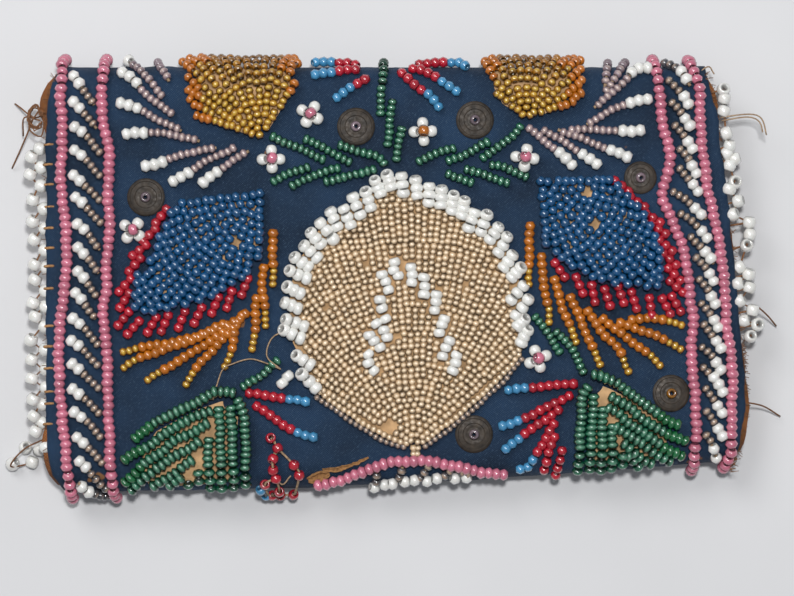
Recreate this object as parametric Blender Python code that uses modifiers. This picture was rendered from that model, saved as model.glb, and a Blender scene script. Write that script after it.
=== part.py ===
"""Beaded medicine bag: a folded cloth wallet with raised glass beadwork on its flap.

One long strip of blue cotton, lined with brown cloth, is folded three times: the tongue
end lies under the bag, the flap is the face that shows, the back lies underneath, and the
last stretch is the front of the pocket. Metres, +Z up. The origin lies under the middle of
the bag, where it rests; +X runs along the bag and +Y points to its top fold.
"""
import math
import bpy
import bmesh
from mathutils import Vector

MM = 0.001
SEWN = "_pieces"

# Cloth, in millimetres
HEIGHT = 11.0
FOLD_RADIUS = HEIGHT / 2
COVER_THICKNESS = 0.8
LINING_THICKNESS = 0.7
CLEARANCE = 0.3
TOP_EDGE = 45.8
BOTTOM_EDGE_MIDDLE = -44.6
BOTTOM_EDGE_SLOPE = 0.0462
BOTTOM_EDGE_BOW = 0.000323
TONGUE_END = -22.0
STEP_START = -15.0
STEP_END = -19.0
STEP_HEIGHT = 2.4
FLAP_ROOM = 1.0
INNER_FOLD_RADIUS = (HEIGHT - COVER_THICKNESS - CLEARANCE - LINING_THICKNESS - FLAP_ROOM
                     - STEP_HEIGHT) / 2
POCKET_MOUTH = 38.0
LEFT_EDGE = [(-46, -71.5), (-42, -73.9), (-36, -75.1), (36, -75.1), (42, -73.8), (46, -72.0)]
RIGHT_EDGE = [(-41, 72.6), (-36, 74.2), (-28, 75.3), (-20, 75.2), (-11, 74.3), (9, 72.5),
              (24, 70.8), (36, 69.1), (44, 67.1)]
CLOTH_STEPS_X = 5
CLOTH_STEPS_FACE = 6
CLOTH_STEPS_FOLD = 7
FOLD_STEP = 2.6
FACE_STEP = 9.0

# Beads, diameters in millimetres
PINK_BEAD = 2.5
WHITE_BEAD = 2.8
EDGE_BEAD = 3.1
CLEAR_BEAD = 2.0
RED_BEAD = 2.3
ORANGE_BEAD = 2.3
GREEN_BEAD = 2.0
THREAD = 0.6
THREAD_DROP = 0.58
BEAD_SEAT = 0.67
STITCH_STEP = 0.3
PAPER_THICKNESS = 0.25
SPANGLE_DIAMETER = 7.8
SPANGLE_THICKNESS = 0.4

# Medallion, in millimetres
MEDALLION_CENTRE = (2.2, -3.7)
MEDALLION_RADIUS = 26.4
RIM_WIDTH = 7.2
RIM_SPOKES = 33
RIM_START = -22
RIM_END = 227
RIM_HEIGHT = 2.0
FIELD_HEIGHT = 1.3
PATTERN_INSET = 1.0
PATTERN_END_INSET = 4
ARC_STEPS = 22
MEDALLION_POINT = [(-11.6, -19.4), (-15.4, -24.4), (-11.2, -28.2), (-6.9, -31.4), (-1.3, -33.8),
                   (4.3, -36.2), (9.9, -33.3), (15.5, -29.7), (20.9, -24.1), (26.2, -16.8),
                   (20.4, -12.4)]
CHEVRON = [(-4.7, -23.8), (-5.8, -17.6), (-4.2, -14.5), (-5.6, -12.9), (-2.6, -10.5), (-3.2, -5.6),
           (-1.7, -1.9), (-2.9, 0.6), (-0.2, 3.2), (3.4, 2.0), (3.6, -0.9), (6.2, -2.4), (6.4, -4.3),
           (9.0, -5.5), (8.6, -9.2), (11.5, -11.3), (11.1, -15.4), (13.0, -17.0), (12.5, -19.8)]

# Lines and strands of beads: (x, y) on the flap in millimetres, y going on round the folds
OUTER_LINE_LEFT = [(-71.6, 49.6), (-71.7, 45.4), (-71.8, 38.3), (-71.4, 31.4), (-71.8, 21.1),
                   (-70.7, 10.3), (-70.7, 1.5), (-71.8, -8.6), (-72.2, -14.4), (-72.0, -24.1),
                   (-71.2, -32.7), (-70.5, -39.6), (-70.0, -45.4), (-69.8, -49.6)]
INNER_LINE_LEFT = [(-62.6, 49.6), (-62.8, 43.6), (-63.0, 35.5), (-61.3, 26.4), (-61.7, 18.9),
                   (-61.3, 10.3), (-62.1, 3.4), (-61.9, -1.5), (-62.8, -7.7), (-61.9, -15.5),
                   (-61.7, -25.2), (-61.3, -34.2), (-61.1, -41.1), (-60.6, -45.6), (-60.4, -49.4)]
INNER_LINE_RIGHT = [(56.0, 49.4), (56.1, 44.7), (57.0, 39.6), (57.2, 34.8), (58.9, 27.5),
                    (59.1, 24.3), (57.4, 18.1), (59.1, 13.3), (61.3, 8.2), (62.6, 3.0), (63.4, -4.1),
                    (64.1, -9.0), (63.6, -16.3), (64.3, -22.6), (64.7, -30.7), (64.5, -37.0),
                    (64.3, -43.4)]
OUTER_LINE_RIGHT = [(63.4, 49.4), (63.8, 45.4), (65.4, 40.9), (65.6, 33.3), (66.4, 25.2),
                    (67.3, 18.5), (69.0, 11.4), (70.0, 5.2), (70.9, -2.2), (71.2, -9.7),
                    (72.3, -17.6), (72.5, -24.1), (72.3, -30.1), (72.3, -36.8), (71.6, -38.9),
                    (71.2, -42.6)]
RUNGS_LEFT = 18
RUNG_PITCH_LEFT = 5.12
RUNG_TOP_LEFT = 42.4
RUNGS_RIGHT = 17
RUNG_PITCH_RIGHT = 4.76
RUNG_TOP_RIGHT = 43.3
RUNG_DROP = 5.0
EDGING_LEFT = (31.2, -35.9, 30)
EDGING_ZIGZAG = 1.3
EDGING_RIGHT = [(70.4, 40.0), (70.9, 38.2), (71.3, 36.2), (72.0, 31.4), (72.5, 28.2), (72.8, 25.8),
                (73.2, 20.9), (74.1, 16.8), (74.4, 13.9), (76.1, 12.0), (76.3, 9.2), (75.5, 6.7),
                (74.9, 3.6), (76.9, 0.9), (75.3, -1.3), (77.1, -2.6), (75.5, -5.1), (77.5, -7.1),
                (75.9, -8.9), (78.4, -10.3), (76.5, -12.9)]

LAVENDER_LEFT = [
    [(-51.6, 48.4), (-50.6, 45.4), (-48.6, 42.0)],
    [(-58.4, 48.0), (-55.9, 45.6), (-50.1, 39.3)],
    [(-59.6, 43.8), (-57.5, 43.1), (-52.7, 38.9), (-47.6, 35.0)],
    [(-59.9, 37.8), (-56.6, 37.0), (-50.8, 34.0), (-45.9, 31.6)],
    [(-58.6, 30.7), (-54.5, 31.3), (-48.3, 30.9), (-42.0, 29.4)],
    [(-54.5, 23.9), (-50.5, 24.8), (-44.9, 26.8), (-38.4, 28.0)],
    [(-48.4, 20.2), (-45.7, 21.8), (-40.5, 25.2), (-34.6, 27.9)],
    [(-41.9, 19.9), (-39.9, 21.5), (-34.9, 25.2), (-31.4, 27.3)]]
LAVENDER_RIGHT = [
    [(46.0, 48.0), (45.8, 44.8), (45.1, 40.8)],
    [(50.2, 47.6), (48.6, 44.6), (45.4, 40.2)],
    [(53.2, 44.4), (51.5, 43.9), (46.4, 39.0), (43.0, 36.8)],
    [(54.2, 38.3), (51.0, 37.8), (46.9, 36.3), (41.3, 33.2)],
    [(52.8, 31.8), (48.7, 31.5), (43.5, 32.0), (38.2, 31.9)],
    [(49.8, 26.3), (46.1, 27.4), (41.7, 29.2), (35.8, 31.3)],
    [(43.2, 25.0), (40.2, 26.7), (36.5, 28.9), (32.4, 31.2)],
    [(37.6, 25.2), (34.9, 27.0), (32.6, 29.0), (29.8, 31.6)]]
RED_SPRAY_TOP_LEFT = [
    [(-17.9, 46.9), (-15.5, 47.7), (-9.6, 46.4), (-8.4, 45.9)],
    [(-18.0, 43.0), (-14.9, 43.7), (-9.8, 44.4), (-7.2, 44.2)],
    [(-13.3, 38.4), (-10.5, 40.3), (-5.4, 42.8)]]
RED_SPRAY_TOP_RIGHT = [
    [(4.4, 46.2), (8.0, 46.9), (13.2, 47.2), (14.6, 46.2), (16.4, 44.6)],
    [(3.0, 45.0), (6.2, 44.2), (10.2, 41.8), (14.6, 39.6)],
    [(0.8, 44.2), (3.6, 41.8), (6.9, 39.6), (9.6, 36.6)]]
RED_SPRAY_BOTTOM_LEFT = [
    [(-30.0, -24.8), (-23.0, -26.0), (-17.6, -26.9)],
    [(-28.8, -27.6), (-21.5, -33.0), (-15.9, -34.4)]]
RED_SPRAY_BOTTOM_RIGHT = [
    [(37.6, -22.8), (27.5, -23.7), (24.3, -24.1)],
    [(37.0, -25.4), (26.4, -30.8), (22.6, -31.8)],
    [(35.8, -27.9), (26.4, -34.6), (23.6, -37.0)],
    [(34.6, -30.6), (29.2, -39.6), (26.6, -40.6)],
    [(34.4, -33.3), (31.6, -42.4)],
    [(35.9, -36.2), (34.6, -43.4)]]
GREEN_STEM_TOP = [
    [(-3.2, 34.8), (-2.6, 43.6), (-2.3, 47.6)],
    [(-0.6, 38.5), (-1.7, 27.7)],
    [(1.5, 32.7), (0.2, 25.4)]]
GREEN_FERN_LEFT = [
    [(-4.0, 23.4), (-7.4, 22.6), (-12.6, 21.2), (-15.2, 20.7)],
    [(-2.0, 24.1), (-3.3, 25.8), (-8.3, 27.4), (-11.8, 28.5)],
    [(-19.6, 30.2), (-13.3, 26.9), (-10.4, 25.2), (-9.0, 24.4)],
    [(-26.8, 30.6), (-17.8, 26.6), (-14.8, 25.3)],
    [(-22.6, 19.6), (-16.1, 22.6), (-11.9, 23.6)],
    [(-26.6, 20.5), (-22.2, 22.7), (-18.1, 24.1)]]
GREEN_FERN_RIGHT = [
    [(4.6, 24.9), (9.4, 27.0), (13.3, 28.2)],
    [(11.0, 24.9), (15.3, 26.7), (20.2, 29.4)],
    [(18.4, 25.6), (24.5, 29.8), (26.6, 32.4)],
    [(20.2, 24.2), (23.2, 23.9), (26.5, 22.5), (29.2, 21.1)],
    [(14.8, 23.5), (17.2, 23.0), (20.6, 21.6), (25.0, 20.4)],
    [(10.9, 22.7), (16.4, 20.4)]]
GREEN_STEM_LEFT = [[(-24.8, -17.0), (-32.4, -22.6)]]
GREEN_STEM_RIGHT = [[(31.0, -9.4), (34.6, -14.6)], [(35.4, -12.2), (39.8, -18.6)]]
FROND_LEFT = [
    [(-26.4, 10.4), (-26.3, 7.8), (-26.2, 0.3), (-26.2, -2.8)],
    [(-28.2, 3.0), (-28.6, -1.6), (-28.0, -6.8), (-27.6, -11.7)],
    [(-29.6, -3.6), (-29.9, -6.6), (-30.3, -13.4), (-31.0, -16.6)],
    [(-31.6, -7.0), (-33.9, -9.6), (-35.3, -15.9), (-36.8, -19.8)],
    [(-32.4, -7.4), (-36.0, -12.0), (-42.6, -19.2), (-45.2, -23.2)],
    [(-34.0, -8.8), (-38.6, -12.8), (-49.5, -19.6), (-53.6, -22.2)],
    [(-35.4, -9.8), (-44.0, -13.4), (-55.3, -17.4), (-58.6, -19.4)],
    [(-36.2, -9.6), (-44.0, -12.9), (-54.0, -14.8), (-59.0, -16.0)]]
FROND_RIGHT = [
    [(29.6, 12.0), (29.7, 2.6), (30.4, -1.2)],
    [(31.8, 4.0), (32.0, -1.1), (33.1, -5.0), (33.4, -6.6)],
    [(35.6, -2.4), (37.2, -8.0), (38.6, -11.4)],
    [(37.6, -4.6), (41.7, -13.3), (43.9, -17.4)],
    [(41.0, -8.0), (47.9, -15.0), (50.5, -20.0)],
    [(44.4, -9.8), (54.2, -16.1), (57.4, -19.0)],
    [(47.4, -10.2), (56.4, -13.0), (60.4, -14.4)],
    [(50.1, -10.0), (56.0, -10.2), (60.6, -10.8)]]
RED_GROUPS_LEFT = [
    ((-31.7, -0.3), (-32.8, -3.2)), ((-35.1, -3.0), (-36.0, -6.0)), ((-38.0, -4.3), (-39.3, -7.4)),
    ((-41.6, -6.5), (-43.1, -9.6)), ((-45.2, -7.4), (-46.5, -10.6)), ((-48.8, -8.2), (-50.1, -11.2)),
    ((-51.4, -8.6), (-53.1, -11.6)), ((-55.1, -9.4), (-57.4, -12.0)), ((-57.3, -7.4), (-59.0, -9.6)),
    ((-57.2, -3.4), (-58.6, -5.6)), ((-56.9, -0.3), (-58.8, -2.4)), ((-54.8, 4.1), (-56.8, 1.8)),
    ((-53.6, 7.0), (-55.5, 5.5)), ((-51.6, 10.4), (-53.2, 8.8)), ((-49.2, 14.6), (-50.6, 12.8))]
RED_GROUPS_RIGHT = [
    ((34.5, 3.1), (36.4, 0.3)), ((39.0, 0.0), (40.0, -2.4)), ((42.3, -1.7), (42.9, -4.8)),
    ((45.1, -3.2), (46.1, -6.2)), ((48.0, -3.2), (49.1, -6.2)), ((50.9, -3.6), (51.9, -6.6)),
    ((54.7, -4.5), (55.1, -7.4)), ((57.5, -4.6), (59.0, -7.4)), ((59.6, -4.1), (60.8, -6.2)),
    ((59.2, -0.8), (60.6, -2.0)), ((58.8, 2.0), (60.2, 0.6)), ((57.8, 5.2), (59.2, 3.9)),
    ((56.9, 8.1), (58.3, 6.9)), ((55.2, 11.5), (56.8, 10.4)), ((54.0, 13.9), (55.2, 13.1)),
    ((50.7, 17.3), (52.6, 16.0)), ((47.4, 20.8), (48.8, 19.7))]
BROKEN_STRING = [[(-26.7, -34.4), (-25.2, -36.6), (-26.2, -39.0), (-26.2, -41.4),
                  (-25.4, -43.4), (-27.2, -45.0)]]
ARCH_LINE = [(-17.2, -44.4), (-14.8, -43.7), (-10.3, -42.6), (-5.8, -40.8), (-1.1, -39.6),
             (5.2, -39.2), (10.8, -39.7), (17.6, -41.0), (24.2, -42.0)]
ARCH_RUNGS = [((-2.6, -42.0), (-5.0, -45.8)), ((2.6, -41.6), (-0.2, -45.4)),
              ((8.0, -41.9), (5.2, -45.6)), ((13.4, -42.8), (11.0, -45.6))]

# Leaves: the corner their rows spread from, and the outline that the rows reach, in order
AMBER_LEFT = ((-28.6, 29.6), [(-43.0, 34.2), (-44.9, 38.6), (-45.2, 42.4), (-45.8, 48.2),
                              (-34.0, 48.6), (-22.4, 48.4), (-20.6, 44.4), (-22.0, 39.6)])
AMBER_RIGHT = ((28.6, 34.0), [(20.8, 38.2), (19.0, 41.8), (18.4, 46.4), (20.6, 48.2), (30.0, 48.6),
                              (39.6, 48.0), (40.4, 43.6), (40.2, 39.6), (37.4, 36.8)])
BLUE_LEFT = ((-28.4, 18.6), [(-47.6, 16.4), (-50.6, 10.6), (-53.2, 4.9), (-55.0, -3.2), (-53.8, -6.8),
                             (-46.0, -5.6), (-38.7, -2.6), (-31.0, 1.4), (-28.2, 5.6)])
BLUE_RIGHT = ((30.8, 21.2), [(31.6, 8.4), (33.6, 6.0), (38.1, 2.6), (44.7, -0.2), (52.7, -1.6),
                             (56.8, -1.2), (57.2, 2.8), (55.8, 8.8), (52.2, 14.6), (49.0, 18.2),
                             (45.4, 21.4)])
GREEN_LEAF_LEFT = ((-33.6, -26.4), [(-33.0, -46.6), (-40.6, -47.4), (-49.8, -47.4), (-57.4, -46.8),
                                    (-57.8, -40.2), (-55.6, -34.8), (-46.6, -29.4), (-39.4, -26.0)])
GREEN_LEAF_RIGHT = ((41.6, -22.0), [(48.6, -24.6), (55.4, -28.4), (60.8, -32.8), (61.4, -37.6),
                                    (60.8, -41.4), (52.6, -42.6), (46.2, -43.4), (40.0, -43.8)])
LEAF_ROWS = 10
STEPS_ROUND_FOLD = 4
STEPS_ON_FLAP = 1
LEAF_TIP = 2.4
PAPER_TIP = 3.4
TIP_ROOM = 1.4
FOLD_SPACING = 1.6
PAPER_COLUMNS = 10
PAPER_ROOM = 0.6
PAPER_MARGIN = 3.5
PAPER_SHARE = 0.94
ROW_WAVE = 0.5
LEAF_WALL = 1.0

FLOWERS = [(-18.3, 35.2), (-26.6, 25.6), (6.0, 31.4), (28.0, 27.4), (-56.4, 10.2), (31.0, -18.2)]
FLOWER_PITCH = 1.75
FLOWER_TURN = 35
SPANGLES = [(-8.4, 32.6), (17.2, 34.0), (-53.6, 17.4), (53.4, 23.0), (17.0, -33.6), (57.2, -24.6)]
LOOSE_PAIR = [[(-23.0, -21.1), (-24.8, -23.4)]]

NAVY = (0.021, 0.052, 0.125)
BROWN = (0.38, 0.14, 0.04)
PINK = (0.52, 0.13, 0.23)
WHITE = (0.84, 0.86, 0.86)
CLEAR = (0.62, 0.44, 0.30)
LAVENDER = (0.38, 0.26, 0.30)
BEIGE = (0.50, 0.34, 0.20)
AMBER = (0.42, 0.19, 0.01)
ORANGE = (0.58, 0.17, 0.01)
BLUE = (0.005, 0.09, 0.28)
RED = (0.48, 0.01, 0.025)
GREEN = (0.01, 0.14, 0.08)
TARNISH = (0.045, 0.035, 0.025)


def clear_scene():
    for thing in list(bpy.data.objects):
        bpy.data.objects.remove(thing, do_unlink=True)


def new_collection(name):
    collection = bpy.data.collections.new(name)
    bpy.context.scene.collection.children.link(collection)
    return collection


def new_material(name, colour, roughness, metallic=0.0):
    material = bpy.data.materials.new(name)
    material.use_nodes = True
    shader = material.node_tree.nodes["Principled BSDF"]
    shader.inputs["Base Color"].default_value = (*colour, 1.0)
    shader.inputs["Roughness"].default_value = roughness
    shader.inputs["Metallic"].default_value = metallic
    return material


def between(table, value):
    """The second number of a table of pairs at this first number, in straight runs."""
    if value <= table[0][0]:
        return table[0][1]
    for (a, at_a), (b, at_b) in zip(table, table[1:]):
        if value <= b:
            return at_a + (at_b - at_a) * (value - a) / (b - a)
    return table[-1][1]


def bottom_edge(x):
    """The bottom fold's edge: it rises to the right, where the flap is shorter."""
    return BOTTOM_EDGE_MIDDLE + BOTTOM_EDGE_SLOPE * x + BOTTOM_EDGE_BOW * x * x


def clear_of_rim(point, room):
    """The place itself, or where it is too near the medallion, the nearest one with this room."""
    away = math.dist(point, MEDALLION_CENTRE)
    share = max(1.0, (MEDALLION_RADIUS + room) / away)
    return tuple(c + (p - c) * share for p, c in zip(point, MEDALLION_CENTRE))


def on_cover(x, y, lift):
    """The place of a flap point, lift above the cloth; past a fold's start y goes round it."""
    top = TOP_EDGE - FOLD_RADIUS
    bottom = bottom_edge(x) + FOLD_RADIUS
    reach = FOLD_RADIUS + lift
    if y > top:
        turn = (y - top) / FOLD_RADIUS
        return Vector((x, top + reach * math.sin(turn), FOLD_RADIUS + reach * math.cos(turn))) * MM
    if y < bottom:
        turn = (bottom - y) / FOLD_RADIUS
        return Vector((x, bottom - reach * math.sin(turn), FOLD_RADIUS + reach * math.cos(turn))) * MM
    return Vector((x, y, HEIGHT + lift)) * MM


def section(x, inset):
    """The folded strip's section at x, as (y, z), inset inside its outer face."""
    bottom = bottom_edge(x) + FOLD_RADIUS
    top = TOP_EDGE - FOLD_RADIUS
    outer = FOLD_RADIUS - inset
    inner = INNER_FOLD_RADIUS - inset
    inner_middle = STEP_HEIGHT + INNER_FOLD_RADIUS
    path = [(TONGUE_END, inset)]
    for step in range(CLOTH_STEPS_FOLD + 1):
        turn = math.pi * step / CLOTH_STEPS_FOLD
        path.append((bottom - outer * math.sin(turn), FOLD_RADIUS - outer * math.cos(turn)))
    for step in range(1, CLOTH_STEPS_FACE):
        path.append((bottom + (top - bottom) * step / CLOTH_STEPS_FACE, HEIGHT - inset))
    for step in range(CLOTH_STEPS_FOLD + 1):
        turn = math.pi * step / CLOTH_STEPS_FOLD
        path.append((top + outer * math.sin(turn), FOLD_RADIUS + outer * math.cos(turn)))
    path += [(STEP_START, inset), (STEP_END, STEP_HEIGHT + inset)]
    for step in range(CLOTH_STEPS_FOLD + 1):
        turn = math.pi * step / CLOTH_STEPS_FOLD
        path.append((bottom - inner * math.sin(turn), inner_middle - inner * math.cos(turn)))
    path.append((POCKET_MOUTH, inner_middle + inner))
    return path


def cloth(name, material, inset, thickness, parts):
    """The whole strip as one folded sheet, its outer face inset from the cover's."""
    count = len(section(0, inset))
    mesh = bpy.data.meshes.new(name)
    sheet = bmesh.new()
    bmesh.ops.create_grid(sheet, x_segments=CLOTH_STEPS_X, y_segments=count - 1, size=0.5)
    for vertex in sheet.verts:
        across = vertex.co.x + 0.5
        step = round((vertex.co.y + 0.5) * (count - 1))
        foot = LEFT_EDGE[0][1] + (RIGHT_EDGE[0][1] - LEFT_EDGE[0][1]) * across
        y, z = section(foot, inset)[step]
        left = between(LEFT_EDGE, y)
        right = between(RIGHT_EDGE, y)
        vertex.co = Vector((left + (right - left) * across, y, z)) * MM
    sheet.to_mesh(mesh)
    sheet.free()
    strip = bpy.data.objects.new(name, mesh)
    parts.objects.link(strip)
    mesh.materials.append(material)
    wall = strip.modifiers.new("cloth thickness", "SOLIDIFY")
    wall.thickness = thickness * MM
    wall.offset = -1
    wall.use_even_offset = True
    return strip


def tube(name, points, diameter, resolution=1, shares=None):
    """A closed tube through these places, as a mesh object outside any collection.

    The shares, where given, are each place's own share of the diameter.
    """
    curve = bpy.data.curves.new(name, "CURVE")
    curve.dimensions = "3D"
    curve.bevel_depth = diameter * MM / 2
    curve.bevel_resolution = resolution
    curve.render_resolution_u = 0
    curve.use_fill_caps = True
    line = curve.splines.new("POLY")
    line.points.add(len(points) - 1)
    for number, point in enumerate(points):
        line.points[number].co = (*point, 1)
        line.points[number].radius = shares[number] if shares else 1.0
    drawn = bpy.data.objects.new(name, curve)
    bpy.context.scene.collection.objects.link(drawn)
    bpy.context.view_layer.update()
    evaluated = drawn.evaluated_get(bpy.context.evaluated_depsgraph_get())
    mesh = bpy.data.meshes.new_from_object(evaluated)
    welded = bmesh.new()
    welded.from_mesh(mesh)
    bmesh.ops.remove_doubles(welded, verts=welded.verts, dist=0.00001)
    welded.to_mesh(mesh)
    welded.free()
    body = bpy.data.objects.new(name, mesh)
    body.matrix_world = drawn.matrix_world
    bpy.data.objects.remove(drawn, do_unlink=True)
    bpy.data.curves.remove(curve)
    return body


def laid(points, lift):
    """Places along a strand on the cover, closer together where it goes round a fold."""
    places = []
    points = [clear_of_rim(point, lift) for point in points]
    for (x0, y0), (x1, y1) in zip(points, points[1:]):
        above = max(y0, y1) > TOP_EDGE - FOLD_RADIUS
        below = min(y0, y1) < bottom_edge(x1) + FOLD_RADIUS
        step = FOLD_STEP if above or below else FACE_STEP
        count = max(1, math.ceil(math.dist((x0, y0), (x1, y1)) / step))
        for k in range(count):
            part = k / count
            places.append(on_cover(x0 + (x1 - x0) * part, y0 + (y1 - y0) * part, lift))
    places.append(on_cover(*points[-1], lift))
    return places


def joined(name, material, bodies, parts):
    """One node from one or more meeting bodies: the first, and the others to be sewn to it."""
    first = bodies[0]
    first.name = name
    first.data.name = name
    first.data.materials.clear()
    first.data.materials.append(material)
    parts.objects.link(first)
    if len(bodies) > 1:
        group = new_collection(name + SEWN)
        for number, body in enumerate(bodies[1:]):
            body.name = f"{name}_piece_{number}"
            body.hide_render = True
            body.display_type = "WIRE"
            group.objects.link(body)
    return first


def sew(parts):
    """Unites each node with the bodies that wait for it, once every body is made."""
    for node in parts.objects:
        group = bpy.data.collections.get(node.name + SEWN)
        if group is not None:
            union = node.modifiers.new("sewn together", "BOOLEAN")
            union.operation = "UNION"
            union.operand_type = "COLLECTION"
            union.solver = "EXACT"
            union.collection = group


def threaded(name, material, lists, diameter, parts, resolution=1):
    """Strands of beads one after another on one thread, up one strand and down the next."""
    lift = CLEARANCE + diameter / 2
    places = []
    shares = []
    for number, points in enumerate(lists):
        strand = laid(points if number % 2 else points[::-1], lift)
        if places:
            gap = strand[0] - places[-1]
            step = gap.normalized() * STITCH_STEP * MM
            places += [places[-1] + step, strand[0] - step]
            shares += [THREAD / diameter] * 2
        places += strand
        shares += [1.0] * len(strand)
    return joined(name, material, [tube(name, places, diameter, resolution, shares)], parts)


def branched(name, material, lists, diameter, parts):
    """Strands of beads that start side by side along a stem, held by one thread there."""
    lift = CLEARANCE + diameter / 2
    stem = [points[0] for points in lists]
    bodies = [tube(name, laid(points, lift), diameter) for points in lists]
    bodies.append(tube(name, laid(stem, lift - THREAD_DROP), THREAD, 0))
    return joined(name, material, bodies, parts)


def rungs(name, material, starts_at, ends_at, tops, parts):
    """The slanting strands between two border lines, on one thread that winds between them."""
    room = PINK_BEAD / 2 + CLEARANCE + WHITE_BEAD / 2
    lists = []
    for top in tops:
        start = (between(starts_at, top) + room, top)
        end = (between(ends_at, top - RUNG_DROP) - room, top - RUNG_DROP)
        lists.append([start, end])
    return threaded(name, material, lists, CLEAR_BEAD, parts)


def along(line, share):
    """The place on a line of straight runs at this share of its length, from 0 to 1."""
    lengths = [math.dist(a, b) for a, b in zip(line, line[1:])]
    rest = share * sum(lengths)
    for (a, b), length in zip(zip(line, line[1:]), lengths):
        if rest <= length:
            return tuple(p + (q - p) * rest / length for p, q in zip(a, b))
        rest -= length
    return line[-1]


def spread(name, material, columns, steps, where, low, wall, wave, parts):
    """A sheet laid on the flap: columns side by side, every second edge raised as a ridge."""
    mesh = bpy.data.meshes.new(name)
    sheet = bmesh.new()
    bmesh.ops.create_grid(sheet, x_segments=columns, y_segments=steps, size=0.5)
    for vertex in sheet.verts:
        across = vertex.co.x + 0.5
        down = 1 - (0.5 - vertex.co.y) ** FOLD_SPACING
        ridge = wave if round(across * columns) % 2 else 0.0
        x, y = where(across, down)
        vertex.co = on_cover(x, y, low + wall + ridge)
    sheet.normal_update()
    if sum(face.normal.z for face in sheet.faces) < 0:
        bmesh.ops.reverse_faces(sheet, faces=sheet.faces)
    sheet.to_mesh(mesh)
    sheet.free()
    mesh.materials.append(material)
    field = bpy.data.objects.new(name, mesh)
    parts.objects.link(field)
    body = field.modifiers.new("height", "SOLIDIFY")
    body.thickness = wall * MM
    body.offset = -1
    return field


def leaf(colour, side, shape, steps, margin, materials, parts):
    """A filled leaf: rows that spread from one corner to the far outline, over its paper."""
    corner, outline = shape

    def where(across, down, tip=LEAF_TIP, room=margin):
        end = along(outline, across)
        length = math.dist(corner, end)
        share = (tip + (length - tip - room) * down) / length
        return tuple(a + (b - a) * share for a, b in zip(corner, end))

    def under(across, down):
        return where(PAPER_SHARE * across + (1 - PAPER_SHARE) / 2, down, PAPER_TIP, PAPER_MARGIN)

    spread(f"{colour}_paper_{side}", materials["paper"], PAPER_COLUMNS, steps, under, PAPER_ROOM,
           PAPER_THICKNESS, 0.0, parts)
    spread(f"{colour}_leaf_{side}", materials[colour], 2 * LEAF_ROWS, steps, where,
           2 * PAPER_ROOM + PAPER_THICKNESS, LEAF_WALL, ROW_WAVE, parts)


def on_medallion(radius, degrees):
    """A place on the flap at this distance and direction from the medallion's middle."""
    turn = math.radians(degrees)
    return (MEDALLION_CENTRE[0] + radius * math.cos(turn), MEDALLION_CENTRE[1] + radius * math.sin(turn))


def medallion_arc(radius, inset):
    """Places round the medallion at this radius, inset degrees inside the rim's two ends."""
    first = RIM_START + inset
    last = RIM_END - inset
    return [on_medallion(radius, first + (last - first) * step / ARC_STEPS)
            for step in range(ARC_STEPS + 1)]


def plate(name, material, outline, low, thickness, parts):
    """A flat piece of this outline, lying on the flap."""
    mesh = bpy.data.meshes.new(name)
    flat = bmesh.new()
    base = flat.faces.new([flat.verts.new(on_cover(x, y, low)) for x, y in outline])
    lifted = bmesh.ops.extrude_face_region(flat, geom=[base])
    raised = [item for item in lifted["geom"] if isinstance(item, bmesh.types.BMVert)]
    bmesh.ops.translate(flat, verts=raised, vec=(0, 0, thickness * MM))
    bmesh.ops.recalc_face_normals(flat, faces=flat.faces)
    flat.to_mesh(mesh)
    flat.free()
    mesh.materials.append(material)
    piece = bpy.data.objects.new(name, mesh)
    parts.objects.link(piece)
    return piece


def medallion(materials, parts):
    """Beige field, white rim of three-bead spokes, the white peak on the field, and paper."""
    bed = 2 * CLEARANCE + PAPER_THICKNESS
    rim_inside = MEDALLION_RADIUS - RIM_WIDTH

    def spoke(across, down):
        return on_medallion(rim_inside + RIM_WIDTH * down, RIM_START + (RIM_END - RIM_START) * across)

    def inward(margin):
        """The pointed lower outline, drawn in towards the medallion's middle."""
        cx, cy = MEDALLION_CENTRE
        return [(x - margin * (x - cx) / math.dist((x, y), (cx, cy)),
                 y - margin * (y - cy) / math.dist((x, y), (cx, cy))) for x, y in MEDALLION_POINT]

    pattern = medallion_arc(MEDALLION_RADIUS - PATTERN_INSET, PATTERN_END_INSET) + inward(PATTERN_INSET)
    plate("medallion_paper", materials["paper"], pattern, CLEARANCE, PAPER_THICKNESS, parts)
    plate("medallion_field", materials["beige"], medallion_arc(rim_inside - CLEARANCE, 0) + inward(0),
          bed, FIELD_HEIGHT, parts)
    spread("medallion_rim", materials["white"], 2 * RIM_SPOKES, 1, spoke, bed, RIM_HEIGHT, ROW_WAVE,
           parts)
    lift = bed + FIELD_HEIGHT + CLEARANCE + WHITE_BEAD / 2
    peak = tube("medallion_peak", [on_cover(x, y, lift) for x, y in CHEVRON], WHITE_BEAD)
    joined("medallion_peak", materials["white"], [peak], parts)


def bead(centre, diameter):
    """One bead as a squat ball."""
    mesh = bpy.data.meshes.new("bead")
    ball = bmesh.new()
    bmesh.ops.create_icosphere(ball, subdivisions=1, radius=diameter * MM / 2)
    bmesh.ops.translate(ball, verts=ball.verts, vec=centre)
    ball.to_mesh(mesh)
    ball.free()
    return bpy.data.objects.new("bead", mesh)


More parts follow.
